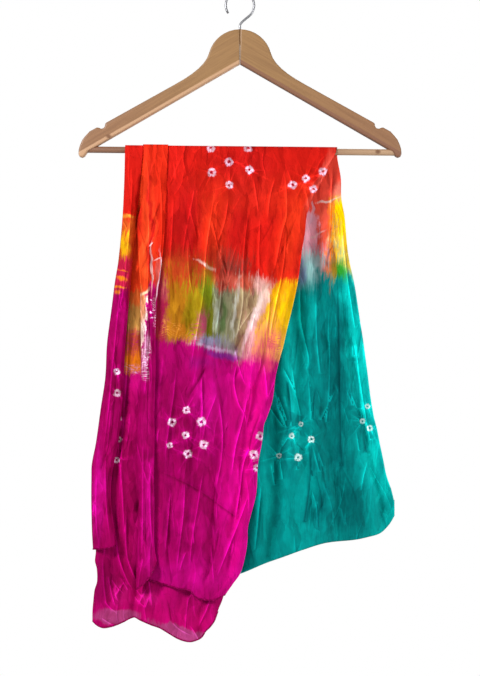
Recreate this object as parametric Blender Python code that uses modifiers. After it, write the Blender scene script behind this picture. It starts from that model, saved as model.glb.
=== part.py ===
"""A dyed dupatta folded in half and hung over the bar of a wooden hanger.

Metres, +Z up, +X to the right and -Y to the front. The origin is the inner top of the hook, where
the hanger hangs on its rail. Heights on the hanger and drops of the cloth are counted from the
bar. Tables are in millimetres, with their columns named above them.
"""

import math

import bmesh
import bpy

MM = 0.001

# Hanger
HANGER_THICKNESS = 12 * MM
HANGER_EDGE_ROUND = 2.4 * MM
HOOK_TOP_ABOVE_BAR = 218 * MM
BAR_Z = -HOOK_TOP_ABOVE_BAR
CROWN_TOP = 166 * MM
CROWN_RADIUS = 44.2 * MM
CROWN_ARC_END_DEG = 15
ARM_UNDER_APEX = 118.6 * MM
ARM_UNDER_SLOPE = 0.576
SEAM_GAP = 0.3 * MM

# Bar
BAR_RADIUS = 4.4 * MM
BAR_HALF_LENGTH = 217 * MM
BAR_FALL_TO_RIGHT = 0.0095
BAR_MIDDLE_BELOW = 1.5 * MM
BAR_CLEARANCE = 0.3 * MM

# Hook
WIRE_RADIUS = 1.6 * MM
HOOK_INNER_RADIUS = 18 * MM
STEM_BOTTOM = 146 * MM
STEM_STRAIGHT_TOP = 172 * MM

# Cloth
WALL = 1.0 * MM
LAYER_GAP = 0.35 * MM
TOP_SEAM_HALF_GAP = 0.15 * MM
HEM_RADIUS = 1.1 * MM
HEM_GAP = 0.3 * MM
EASE_DROP = 120 * MM
ROLL_WIDTH = 9 * MM
FOOT_BEND = 2.2 * MM
ARC_ROWS = 3
FOOT_ROWS = 5

UNDER_RADIUS = BAR_RADIUS + BAR_CLEARANCE + WALL / 2
OUTER_RADIUS = UNDER_RADIUS + WALL + LAYER_GAP
PLEAT_RADIUS = OUTER_RADIUS + WALL + LAYER_GAP

# Edges of each stretch of cloth. Columns: drop below the bar, left edge, right edge.
FRONT_EDGES = (
    (0, -118, 133),
    (30, -117.7, 118.7),
    (61, -118.3, 101.4),
    (90, -119, 92.5),
    (137, -122.6, 84.1),
    (200, -126.6, 75.2),
    (243, -128.6, 65.3),
    (293, -131.5, 52.4),
    (338, -132.5, 45.5),
    (379, -134.5, 32.6),
    (419, -135.5, 27.7),
    (475, -135.5, 21.8),
    (520, -135.5, 10.3),
    (557, -134.5, 7.9),
    (584, -132.5, -1),
    (615, -128.6, -26),
)
LEFT_PLEAT_EDGES = (
    (0, -159, -134),
    (48, -159.7, -137.6),
    (97, -160.5, -143.8),
    (155, -165.7, -147.8),
    (207, -173, -151.5),
    (284, -182.9, -157.7),
    (355, -189.4, -162.4),
    (404, -196.4, -167.6),
    (433, -201.8, -174.4),
    (480, -202.7, -177.2),
    (506, -202.1, -174.5),
    (552, -200.4, -170.3),
)
CENTRE_PLEAT_EDGES = (
    (0, -133.4, -99.5),
    (28, -132.3, -100.7),
    (70, -134.1, -101.3),
    (98, -140.3, -102.6),
    (155, -138.3, -107.7),
    (207, -135.8, -113.6),
    (306, -135.2, -115.6),
    (362, -139.3, -118.4),
    (400, -142.3, -117.1),
    (500, -138.3, -117.5),
    (550, -140.3, -118),
    (585, -141.3, -113.6),
    (612, -142.3, -110.7),
)
UNDER_EDGES = (
    (0, -156, 118),
    (100, -156.3, 75.7),
    (200, -168.2, 59.7),
    (300, -180.1, 35.8),
    (400, -191, 11.9),
    (450, -196, 6),
    (500, -197, -4),
    (560, -199.4, -11.9),
    (580, -199, -13.9),
    (600, -198, -21.9),
    (620, -201, -28.5),
    (640, -202, -31),
    (700, -202, -31),
)
BACK_EDGES = (
    (0, -118, 134),
    (36, -119.2, 139.7),
    (64, -120.4, 140.8),
    (91, -121.6, 145.7),
    (151, -123.7, 151.4),
    (202, -126.8, 162),
    (266, -129.8, 171.7),
    (321, -132.8, 178),
    (383, -135.8, 190.1),
    (426, -137.8, 198.8),
    (470, -139.8, 210.8),
    (500, -140.8, 214.8),
    (530, -141.8, 207.2),
    (620, -142.9, 191.1),
)
UNDER_BACK_EDGES = (
    (0, -150, 120),
    (100, -150, 82),
    (250, -150, 52),
    (400, -152, 16),
    (600, -152, -8),
)
LEFT_BACK_EDGES = (
    (0, -157, -134),
    (150, -164, -137),
    (300, -178, -146),
    (450, -189, -155),
    (600, -190, -158),
)
CENTRE_BACK_EDGES = (
    (0, -133.4, -99.5),
    (150, -131, -98),
    (300, -134, -100),
    (450, -143, -104),
    (600, -146, -108),
)

# Lower edges. Columns: share of the width from the left, drop below the bar.
FRONT_HEM = ((0, 591), (0.3, 596), (0.55, 602), (0.75, 612), (0.9, 615), (1, 606))
LEFT_PLEAT_HEM = ((0, 550), (0.5, 549), (1, 545.4))
CENTRE_PLEAT_HEM = ((0, 603), (0.3, 596), (0.6, 585), (1, 565))
UNDER_HEM = (
    (0, 643.1),
    (0.031, 652),
    (0.077, 656),
    (0.127, 655.6),
    (0.177, 653.4),
    (0.238, 648.7),
    (0.298, 643.3),
    (0.334, 641.7),
    (0.37, 645.2),
    (0.459, 651.9),
    (0.544, 657.5),
    (0.634, 667.1),
    (0.7, 672.8),
    (0.777, 675.5),
    (0.84, 671.9),
    (0.87, 667.9),
    (0.936, 654),
    (0.97, 645),
    (1, 629.1),
)
BACK_HEM = (
    (0, 616),
    (0.25, 600),
    (0.43, 585),
    (0.55, 567),
    (0.67, 552),
    (0.8, 540),
    (0.92, 533),
    (0.97, 526),
    (1, 512),
)
UNDER_BACK_HEM = ((0, 560), (0.5, 530), (1, 490))
LEFT_BACK_HEM = ((0, 606), (1, 612))
CENTRE_BACK_HEM = ((0, 588), (1, 582))

# Folds. Columns: place across at the top and at the bottom as shares of the width, drops where
# the fold starts and ends, half width, height out of the wall.
FRONT_FOLDS = (
    (0.95, 0.97, 4, 150, 6, 5),
    (0.96, 0.95, 120, 620, 8, 9),
    (0.74, 0.84, 20, 330, 9, 7),
    (0.80, 0.76, 220, 640, 9, 10),
    (0.55, 0.62, 15, 300, 9, 7),
    (0.52, 0.60, 230, 640, 10, 9),
    (0.37, 0.42, 60, 420, 8, 9),
    (0.33, 0.40, 360, 640, 9, 7),
    (0.25, 0.27, 25, 260, 7, 5),
    (0.20, 0.22, 240, 600, 6, 5),
    (0.66, 0.70, 90, 260, 5, 5),
    (0.45, 0.50, 120, 330, 5, 5),
)
UNDER_FOLDS = (
    (0.05, 0.10, 120, 560, 5, -4),
    (0.12, 0.14, 160, 660, 5, -5),
    (0.20, 0.22, 520, 690, 7, -6),
    (0.33, 0.34, 560, 690, 8, -8),
    (0.48, 0.50, 560, 690, 8, -5),
    (0.70, 0.68, 590, 690, 9, -6),
    (0.88, 0.86, 590, 690, 6, -5),
)
BACK_FOLDS = (
    (0.93, 0.97, 30, 600, 8, 8),
    (0.82, 0.86, 60, 420, 10, 9),
    (0.80, 0.78, 330, 620, 13, 10),
    (0.70, 0.68, 20, 560, 11, 10),
    (0.58, 0.56, 50, 400, 10, 8),
    (0.56, 0.50, 300, 640, 14, 10),
    (0.44, 0.40, 30, 620, 12, 9),
    (0.33, 0.28, 60, 620, 11, 8),
    (0.24, 0.21, 40, 620, 9, 7),
)

WOOD = ("beech_wood", (0.50, 0.29, 0.14), 0.5, 0.0)
STEEL = ("hook_steel", (0.62, 0.62, 0.63), 0.28, 1.0)
PINK = ("pink_cloth", (0.62, 0.0, 0.23), 0.45, 0.0)
RED = ("red_cloth", (0.78, 0.04, 0.02), 0.45, 0.0)
TEAL = ("teal_cloth", (0.0, 0.34, 0.31), 0.45, 0.0)


def clear_scene():
    for old in list(bpy.data.objects):
        bpy.data.objects.remove(old, do_unlink=True)


def material(finish):
    """A Principled material from its name, colour, roughness and metallic value."""
    name, colour, roughness, metallic = finish
    made = bpy.data.materials.get(name) or bpy.data.materials.new(name)
    made.use_nodes = True
    shader = made.node_tree.nodes["Principled BSDF"]
    shader.inputs["Base Color"].default_value = (*colour, 1)
    shader.inputs["Roughness"].default_value = roughness
    shader.inputs["Metallic"].default_value = metallic
    made.diffuse_color = (*colour, 1)
    return made


def smooth_step(low, high, value):
    share = min(1.0, max(0.0, (value - low) / (high - low)))
    return share * share * (3 - 2 * share)


def read_row(table, column, at):
    """A value between a table's rows, on a smooth curve through them (Catmull-Rom)."""
    last = len(table) - 1
    if at <= table[0][0]:
        return table[0][column]
    if at >= table[last][0]:
        return table[last][column]
    k = max(i for i in range(last) if table[i][0] <= at)
    before, after = max(k - 1, 0), min(k + 2, last)
    start, end = table[k][0], table[k + 1][0]
    step = end - start
    rise_in = (table[k + 1][column] - table[before][column]) / (end - table[before][0]) * step
    rise_out = (table[after][column] - table[k][column]) / (table[after][0] - start) * step
    t = (at - start) / step
    return (
        (2 * t**3 - 3 * t**2 + 1) * table[k][column]
        + (t**3 - 2 * t**2 + t) * rise_in
        + (3 * t**2 - 2 * t**3) * table[k + 1][column]
        + (t**3 - t**2) * rise_out
    )


def bar_z(x):
    """Height of the bar's axis, which falls a little to the right."""
    return BAR_Z - BAR_MIDDLE_BELOW - BAR_FALL_TO_RIGHT * x


def fold_height(folds, across, drop, width):
    """All the folds of a stretch of cloth added up at one place, each a soft bump."""
    height = 0.0
    for at_top, at_bottom, start, end, half_width, rise in folds:
        start, end = start * MM, end * MM
        if not start < drop < end:
            continue
        share = (drop - start) / (end - start)
        off = (across - at_top - (at_bottom - at_top) * share) * width
        run_in = smooth_step(0, 0.22, share) * smooth_step(0, 0.12, 1 - share)
        height += rise * MM * run_in * math.exp(-((off / (half_width * MM)) ** 2))
    return height


class Stretch:
    """One stretch of cloth: a wall that leaves the bar's top, rounds the bar and hangs down."""

    def __init__(self, name, finish, facing, radius, edges, hem, columns, rows, **form):
        self.name, self.finish, self.facing, self.radius = name, finish, facing, radius
        self.edges, self.hem, self.columns, self.rows = edges, hem, columns, rows
        self.folds = form.get("folds", ())
        self.stand_off = form.get("stand_off", 0.0)
        self.arch = form.get("arch", 0.0)
        self.roll_left = form.get("roll_left", 0.0)
        self.roll_right = form.get("roll_right", 0.0)
        self.turn_up = form.get("turn_up", 0.0)

    def width_at(self, drop):
        return (read_row(self.edges, 2, drop / MM) - read_row(self.edges, 1, drop / MM)) * MM

    def side_at(self, across, drop):
        left = read_row(self.edges, 1, drop / MM) * MM
        return left + across * self.width_at(drop)

    def hem_drop(self, across):
        return read_row(self.hem, 1, across) * MM

    def depth(self, across, drop):
        """How far the cloth stands in front of the bar's face, growing down from the bar."""
        ease = smooth_step(0, EASE_DROP, drop)
        width = self.width_at(drop)
        left_roll = self.roll_left * (1 - smooth_step(0, ROLL_WIDTH, across * width))
        right_roll = self.roll_right * (1 - smooth_step(0, ROLL_WIDTH, (1 - across) * width))
        arch = self.arch * (1 - (2 * across - 1) ** 4)
        folds = fold_height(self.folds, across, drop, width)
        return ease * (self.stand_off + arch - left_roll - right_roll) + folds

    def hanging_point(self, across, drop, outward=0.0):
        x = self.side_at(across, drop)
        out = self.radius + self.depth(across, drop) + outward
        return x, self.facing * out, bar_z(x) - drop

    def bar_point(self, across, share):
        """A point on the quarter turn over the bar, from its top (0) to its face (1)."""
        first = math.asin(TOP_SEAM_HALF_GAP / self.radius)
        angle = first + (math.pi / 2 - first) * share
        x = self.side_at(across, 0)
        y = self.facing * self.radius * math.sin(angle)
        return x, y, bar_z(x) + self.radius * math.cos(angle)

    def turned_point(self, across, share):
        """A point on the fold at the foot, round its bend (0 to 0.5) and up behind (to 1)."""
        foot = self.hem_drop(across) - FOOT_BEND
        if share > 0.5:
            rise = self.turn_up * (share - 0.5) / 0.5
            return self.hanging_point(across, foot - rise, 2 * FOOT_BEND)
        angle = math.pi * share / 0.5
        x, y, z = self.hanging_point(across, foot, FOOT_BEND * (1 - math.cos(angle)))
        return x, y, z - FOOT_BEND * math.sin(angle)

    def point(self, across, down):
        """Row number down: the quarter turn first, then the fall, then the fold at the foot."""
        if down <= ARC_ROWS:
            return self.bar_point(across, down / ARC_ROWS)
        turned = FOOT_ROWS if self.turn_up else 0
        fall_rows = self.rows - ARC_ROWS - turned
        share = (down - ARC_ROWS) / fall_rows
        if share > 1:
            return self.turned_point(across, (down - ARC_ROWS - fall_rows) / turned)
        foot = self.hem_drop(across) - (FOOT_BEND if turned else 0)
        return self.hanging_point(across, foot * share)

    def build(self, collection):
        """A grid moved onto the form, thickened by Solidify."""
        mesh = bpy.data.meshes.new(self.name)
        grid = bmesh.new()
        bmesh.ops.create_grid(grid, x_segments=self.columns, y_segments=self.rows, size=0.5)
        for corner in grid.verts:
            across = corner.co.x + 0.5
            down = round((0.5 - corner.co.y) * self.rows)
            corner.co = self.point(across, down)
        grid.to_mesh(mesh)
        grid.free()
        mesh.shade_smooth()
        mesh.materials.append(material(self.finish))
        cloth = bpy.data.objects.new(self.name, mesh)
        collection.objects.link(cloth)
        thicken = cloth.modifiers.new("cloth wall", "SOLIDIFY")
        thicken.thickness = WALL
        thicken.offset = 0
        return cloth


def tube(name, points, radius, finish, collection, resolution=1):
    """A round wire along a line of points."""
    line = bpy.data.curves.new(name, "CURVE")
    line.dimensions = "3D"
    line.bevel_depth = radius
    line.bevel_resolution = resolution
    line.use_fill_caps = True
    spline = line.splines.new("POLY")
    spline.points.add(len(points) - 1)
    for spot, place in zip(spline.points, points):
        spot.co = (*place, 1)
    line.materials.append(material(finish))
    made = bpy.data.objects.new(name, line)
    collection.objects.link(made)
    return made


def add_hem(stretch, name, collection, segments):
    """The rolled hem of a stretch, a thin roll set off square from the wall's lower edge."""
    off = HEM_RADIUS + HEM_GAP + WALL / 2
    inset = 1.5 * HEM_RADIUS / stretch.width_at(stretch.hem_drop(0.5))
    shares = [inset + (1 - 2 * inset) * k / segments for k in range(segments + 1)]
    edge = [stretch.hanging_point(across, stretch.hem_drop(across)) for across in shares]
    points = []
    for k, (x, y, z) in enumerate(edge):
        before, after = edge[max(k - 1, 0)], edge[min(k + 1, segments)]
        run, rise = after[0] - before[0], after[2] - before[2]
        length = math.hypot(run, rise)
        points.append((x + rise / length * off, y, z - run / length * off))
    return tube(name, points, HEM_RADIUS, PINK, collection)


def quadratic(start, control, end, steps):
    """Points on a quadratic curve, without its first point."""
    found = []
    for k in range(1, steps + 1):
        t = k / steps
        found.append(
            tuple(
                (1 - t) ** 2 * a + 2 * t * (1 - t) * b + t**2 * c
                for a, b, c in zip(start, control, end)
            )
        )
    return found


def arm_outline():
    """The right arm from the front, from the seam's top round the tip and back, in x and height."""
    centre = CROWN_TOP - CROWN_RADIUS
    outline = []
    for k in range(9):
        angle = math.radians(90 + (CROWN_ARC_END_DEG - 90) * k / 8)
        outline.append((CROWN_RADIUS * math.cos(angle), centre + CROWN_RADIUS * math.sin(angle)))
    outline[0] = (SEAM_GAP / 2, CROWN_TOP)
    outline += quadratic(outline[-1], (47.6 * MM, 112.6 * MM), (90 * MM, 89.8 * MM), 6)
    notch_and_tip = (
        (184.5, 37.2),
        (185.9, 35.6),
        (186.3, 32.4),
        (188.2, 29.6),
        (191.6, 28.8),
        (194.6, 30.2),
        (197.4, 30.6),
        (207.6, 25),
        (213.6, 18.4),
        (217.4, 13.6),
        (220.6, 6.4),
        (222.4, 0),
        (222.8, -6),
        (221.4, -9.4),
        (218, -10.6),
        (214.6, -9),
    )
    outline += [(x * MM, z * MM) for x, z in notch_and_tip]
    foot_x = 210 * MM
    outline.append((foot_x, ARM_UNDER_APEX - ARM_UNDER_SLOPE * foot_x))
    outline.append((SEAM_GAP / 2, ARM_UNDER_APEX - ARM_UNDER_SLOPE * SEAM_GAP / 2))
    return outline


def cylinder_between(name, start, end, radius, vertices=24):
    """A plain cylinder from one point to another in the XZ plane."""
    run, rise = end[0] - start[0], end[1] - start[1]
    length = math.hypot(run, rise)
    bpy.ops.mesh.primitive_cylinder_add(vertices=vertices, radius=radius, depth=length)
    made = bpy.context.object
    made.name = name
    made.location = ((start[0] + end[0]) / 2, 0, (start[1] + end[1]) / 2)
    made.rotation_euler = (0, math.atan2(run, rise), 0)
    return made


def move_to(obj, collection):
    for held in list(obj.users_collection):
        held.objects.unlink(obj)
    collection.objects.link(obj)


def build_arm(name, side, cutters, collection):
    """One half of the wooden hanger: a flat outline with rounded edges, then drilled."""
    outline = bpy.data.curves.new(name + "_outline", "CURVE")
    outline.dimensions = "2D"
    outline.fill_mode = "BOTH"
    outline.extrude = HANGER_THICKNESS / 2 - HANGER_EDGE_ROUND
    outline.bevel_depth = HANGER_EDGE_ROUND
    outline.bevel_resolution = 2
    outline.offset = -HANGER_EDGE_ROUND
    spline = outline.splines.new("POLY")
    corners = [(side * x, z) for x, z in arm_outline()]
    spline.points.add(len(corners) - 1)
    for spot, (x, z) in zip(spline.points, corners):
        spot.co = (x, z, 0, 1)
    spline.use_cyclic_u = True
    flat = bpy.data.objects.new(name + "_outline", outline)
    flat.rotation_euler = (math.pi / 2, 0, 0)
    flat.location = (0, 0, BAR_Z)
    collection.objects.link(flat)
    bpy.context.view_layer.update()
    evaluated = flat.evaluated_get(bpy.context.evaluated_depsgraph_get())
    mesh = bpy.data.meshes.new_from_object(evaluated)
    mesh.name = name
    body = bmesh.new()
    body.from_mesh(mesh)
    bmesh.ops.remove_doubles(body, verts=body.verts, dist=0.01 * MM)
    bmesh.ops.recalc_face_normals(body, faces=body.faces)
    body.to_mesh(mesh)
    body.free()
    mesh.materials.clear()
    mesh.materials.append(material(WOOD))
    arm = bpy.data.objects.new(name, mesh)
    arm.matrix_world = flat.matrix_world
    collection.objects.link(arm)
    bpy.data.objects.remove(flat, do_unlink=True)
    for cutter in cutters:
        drill = arm.modifiers.new(cutter.name, "BOOLEAN")
        drill.operation = "DIFFERENCE"
        drill.object = cutter
    return arm


def build_hanger(parts, cutters):
    """The two arms, the bar between their tips and the wire hook in the crown."""

    def bar_end(side, reach):
        x = side * reach
        return x, bar_z(x)

    hole_radius = BAR_RADIUS + BAR_CLEARANCE
    tips = []
    for word, side in (("left", -1), ("right", 1)):
        inner, outer = 190 * MM, BAR_HALF_LENGTH + BAR_CLEARANCE
        socket = cylinder_between(
            f"bar_socket_{word}", bar_end(side, inner), bar_end(side, outer), hole_radius
        )
        tips.append(socket)
    stem_low = BAR_Z + STEM_BOTTOM - BAR_CLEARANCE
    stem_hole = cylinder_between(
        "stem_hole",
        (0, stem_low),
        (0, BAR_Z + CROWN_TOP + 5 * MM),
        WIRE_RADIUS + BAR_CLEARANCE,
        16,
    )
    for cutter in (*tips, stem_hole):
        move_to(cutter, cutters)
        cutter.hide_render = True
        cutter.display_type = "WIRE"
    build_arm("hanger_arm_left", -1, (tips[0], stem_hole), parts)
    build_arm("hanger_arm_right", 1, (tips[1], stem_hole), parts)
    bar = cylinder_between(
        "trouser_bar", bar_end(-1, BAR_HALF_LENGTH), bar_end(1, BAR_HALF_LENGTH), BAR_RADIUS, 28
    )
    bar.data.materials.append(material(WOOD))
    move_to(bar, parts)
    build_hook(parts)


def build_hook(parts):
    """Stem, bend and open ring of one wire; the rail lies in the ring's top, at the origin."""
    ring_radius = HOOK_INNER_RADIUS + WIRE_RADIUS
    ring_z = -HOOK_INNER_RADIUS
    start_angle, end_angle = math.radians(-50), math.radians(214)
    join = (ring_radius * math.cos(start_angle), ring_z + ring_radius * math.sin(start_angle))
    stem_top = BAR_Z + STEM_STRAIGHT_TOP
    points = [(0, 0, BAR_Z + STEM_BOTTOM), (0, 0, stem_top)]
    for x, z in quadratic((0, stem_top), (0, join[1] - 9.5 * MM), join, 7):
        points.append((x, 0, z))
    turns = 26
    for k in range(1, turns + 1):
        angle = start_angle + (end_angle - start_angle) * k / turns
        points.append((ring_radius * math.cos(angle), 0, ring_z + ring_radius * math.sin(angle)))
    tube("hook", points, WIRE_RADIUS, STEEL, parts, resolution=2)


def build_cloth(parts):
    """Front falls, back falls and pleats, then the rolled hems of the pink ends."""
    front, back = -1, 1
    under = Stretch(
        "under_fall", PINK, front, UNDER_RADIUS, UNDER_EDGES, UNDER_HEM, 30, 21,
        folds=UNDER_FOLDS, stand_off=3 * MM, roll_left=2 * MM, roll_right=3 * MM,
    )
    main = Stretch(
        "front_fall", RED, front, OUTER_RADIUS, FRONT_EDGES, FRONT_HEM, 36, 21,
        folds=FRONT_FOLDS, stand_off=6 * MM, roll_right=3 * MM,
    )
    left = Stretch(
        "left_pleat", PINK, front, OUTER_RADIUS, LEFT_PLEAT_EDGES, LEFT_PLEAT_HEM, 8, 20,
        stand_off=4 * MM, arch=9 * MM, roll_left=2 * MM,
    )
    centre = Stretch(
        "centre_pleat", PINK, front, PLEAT_RADIUS, CENTRE_PLEAT_EDGES, CENTRE_PLEAT_HEM, 10, 20,
        stand_off=7 * MM, arch=9 * MM,
    )
    Stretch(
        "back_fall", TEAL, back, OUTER_RADIUS, BACK_EDGES, BACK_HEM, 34, 24,
        folds=BACK_FOLDS, stand_off=6 * MM, roll_right=3 * MM, turn_up=20 * MM,
    ).build(parts)
    Stretch(
        "under_back", TEAL, back, UNDER_RADIUS, UNDER_BACK_EDGES, UNDER_BACK_HEM, 10, 14,
        stand_off=2 * MM,
    ).build(parts)
    Stretch(
        "left_pleat_back", TEAL, back, OUTER_RADIUS, LEFT_BACK_EDGES, LEFT_BACK_HEM, 8, 18,
        stand_off=4 * MM, arch=8 * MM,
    ).build(parts)
    Stretch(
        "centre_pleat_back", TEAL, back, PLEAT_RADIUS, CENTRE_BACK_EDGES, CENTRE_BACK_HEM, 10, 18,
        stand_off=7 * MM, arch=9 * MM,
    ).build(parts)
    for stretch, segments in ((under, 30), (main, 22), (left, 6), (centre, 6)):
        stretch.build(parts)
        hem_name = stretch.name.split("_")[0] + "_hem"
        add_hem(stretch, hem_name, parts, segments)


def main():
    clear_scene()
    parts = bpy.data.collections.new("dupatta_on_hanger")
    cutters = bpy.data.collections.new("cutters")
    for collection in (parts, cutters):
        bpy.context.scene.collection.children.link(collection)
    build_hanger(parts, cutters)
    build_cloth(parts)


main()
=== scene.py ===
# %% [markdown]
# # A tie-dyed dupatta on a wooden hanger
#
# A dupatta is a long stole of thin, silky cloth. This one is tied in small points before it is
# dyed, which leaves white rings, and its dye runs in bands: red in the quarter lengths, pink at
# both ends, teal in the middle. It is folded in half across its length, folded again lengthwise,
# and hung over the bar of a flat wooden hanger with both pink ends in front.
#
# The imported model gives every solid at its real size. Each step below lays a finer surface on one
# of those solids, or gives a solid its finish.

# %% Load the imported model
import math
from dataclasses import dataclass

import bmesh
import bpy
import numpy as np
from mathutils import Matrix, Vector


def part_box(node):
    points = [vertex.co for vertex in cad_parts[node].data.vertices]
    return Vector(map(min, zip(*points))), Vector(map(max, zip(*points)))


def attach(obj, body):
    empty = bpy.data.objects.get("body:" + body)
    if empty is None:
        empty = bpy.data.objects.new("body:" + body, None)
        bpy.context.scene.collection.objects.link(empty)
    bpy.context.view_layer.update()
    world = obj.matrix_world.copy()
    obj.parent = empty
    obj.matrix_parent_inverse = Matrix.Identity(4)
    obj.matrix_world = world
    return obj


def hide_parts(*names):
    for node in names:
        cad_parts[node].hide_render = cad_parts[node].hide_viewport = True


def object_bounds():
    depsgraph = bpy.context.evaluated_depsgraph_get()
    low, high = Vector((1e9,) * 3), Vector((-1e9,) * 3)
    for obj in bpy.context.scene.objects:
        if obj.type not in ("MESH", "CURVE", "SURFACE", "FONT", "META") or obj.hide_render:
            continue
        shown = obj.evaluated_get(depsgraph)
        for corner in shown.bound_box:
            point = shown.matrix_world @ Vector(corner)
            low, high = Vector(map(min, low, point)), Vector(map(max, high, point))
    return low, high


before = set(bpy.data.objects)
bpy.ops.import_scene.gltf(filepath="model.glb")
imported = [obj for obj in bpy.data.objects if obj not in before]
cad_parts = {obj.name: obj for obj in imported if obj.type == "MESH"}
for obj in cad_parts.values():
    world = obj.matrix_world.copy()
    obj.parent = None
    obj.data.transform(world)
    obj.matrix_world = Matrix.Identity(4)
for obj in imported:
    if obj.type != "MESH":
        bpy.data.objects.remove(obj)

cad_low, cad_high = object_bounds()
MM = 0.001
print("solids:", len(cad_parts), "from", tuple(cad_low), "to", tuple(cad_high))

# %% [markdown]
# ## The view
#
# The picture was taken square on, with the camera at the height of the cloth's middle. One pixel
# is 1.382 mm at the hanger, because the hanger is a standard one, 445 mm wide. The camera's
# distance decides how much the cloth in front looks larger than the cloth behind; 1.7 m is what a
# product photograph of this height needs.

# %% Camera
BAR_Z = -218 * MM
PIXEL = 1.382 * MM
PICTURE_HEIGHT = 676
BAR_PIXEL_ROW = 150
VIEW_DISTANCE = 1.70
EYE_BELOW_BAR = (PICTURE_HEIGHT / 2 - BAR_PIXEL_ROW) * PIXEL
SENSOR_WIDTH = 36

lens = bpy.data.cameras.new("camera")
lens.sensor_width = SENSOR_WIDTH
lens.lens = SENSOR_WIDTH * VIEW_DISTANCE / (PICTURE_HEIGHT * PIXEL)
camera = bpy.data.objects.new("camera", lens)
camera.location = (0, -VIEW_DISTANCE, BAR_Z - EYE_BELOW_BAR)
camera.rotation_euler = (math.pi / 2, 0, 0)
bpy.context.scene.collection.objects.link(camera)
bpy.context.scene.camera = camera
print("lens", round(lens.lens, 1), "mm, eye", round(EYE_BELOW_BAR * 1000), "mm below the bar")

# %% [markdown]
# ## Shader sums as Python
#
# A material is a graph of nodes, and a graph of sums is hard to read. The class below wraps one
# socket, so that `1 - mask * 0.5` adds the Math nodes by itself. Every other node comes from one
# method, which takes the node's type, its settings and its inputs.

# %% A socket with arithmetic
class Wire:
    """One output socket. Its arithmetic signs add Math nodes to the same material."""

    def __init__(self, finish, socket):
        self.finish, self.socket = finish, socket

    def math(self, operation, *others, swap=False):
        values = (*others, self) if swap else (self, *others)
        return self.finish.node("ShaderNodeMath", {"operation": operation}, dict(enumerate(values)))

    def __add__(self, other):
        return self.math("ADD", other)

    def __radd__(self, other):
        return self.math("ADD", other)

    def __sub__(self, other):
        return self.math("SUBTRACT", other)

    def __rsub__(self, other):
        return self.math("SUBTRACT", other, swap=True)

    def __mul__(self, other):
        return self.math("MULTIPLY", other)

    def __rmul__(self, other):
        return self.math("MULTIPLY", other)

    def __truediv__(self, other):
        return self.math("DIVIDE", other)

    def ramp(self, low, high):
        """0 below low, 1 above high and a smooth S between them; low may be the larger."""
        settings = {"interpolation_type": "SMOOTHSTEP"}
        return self.finish.node(
            "ShaderNodeMapRange", settings, {"Value": self, "From Min": low, "From Max": high}
        )


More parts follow.
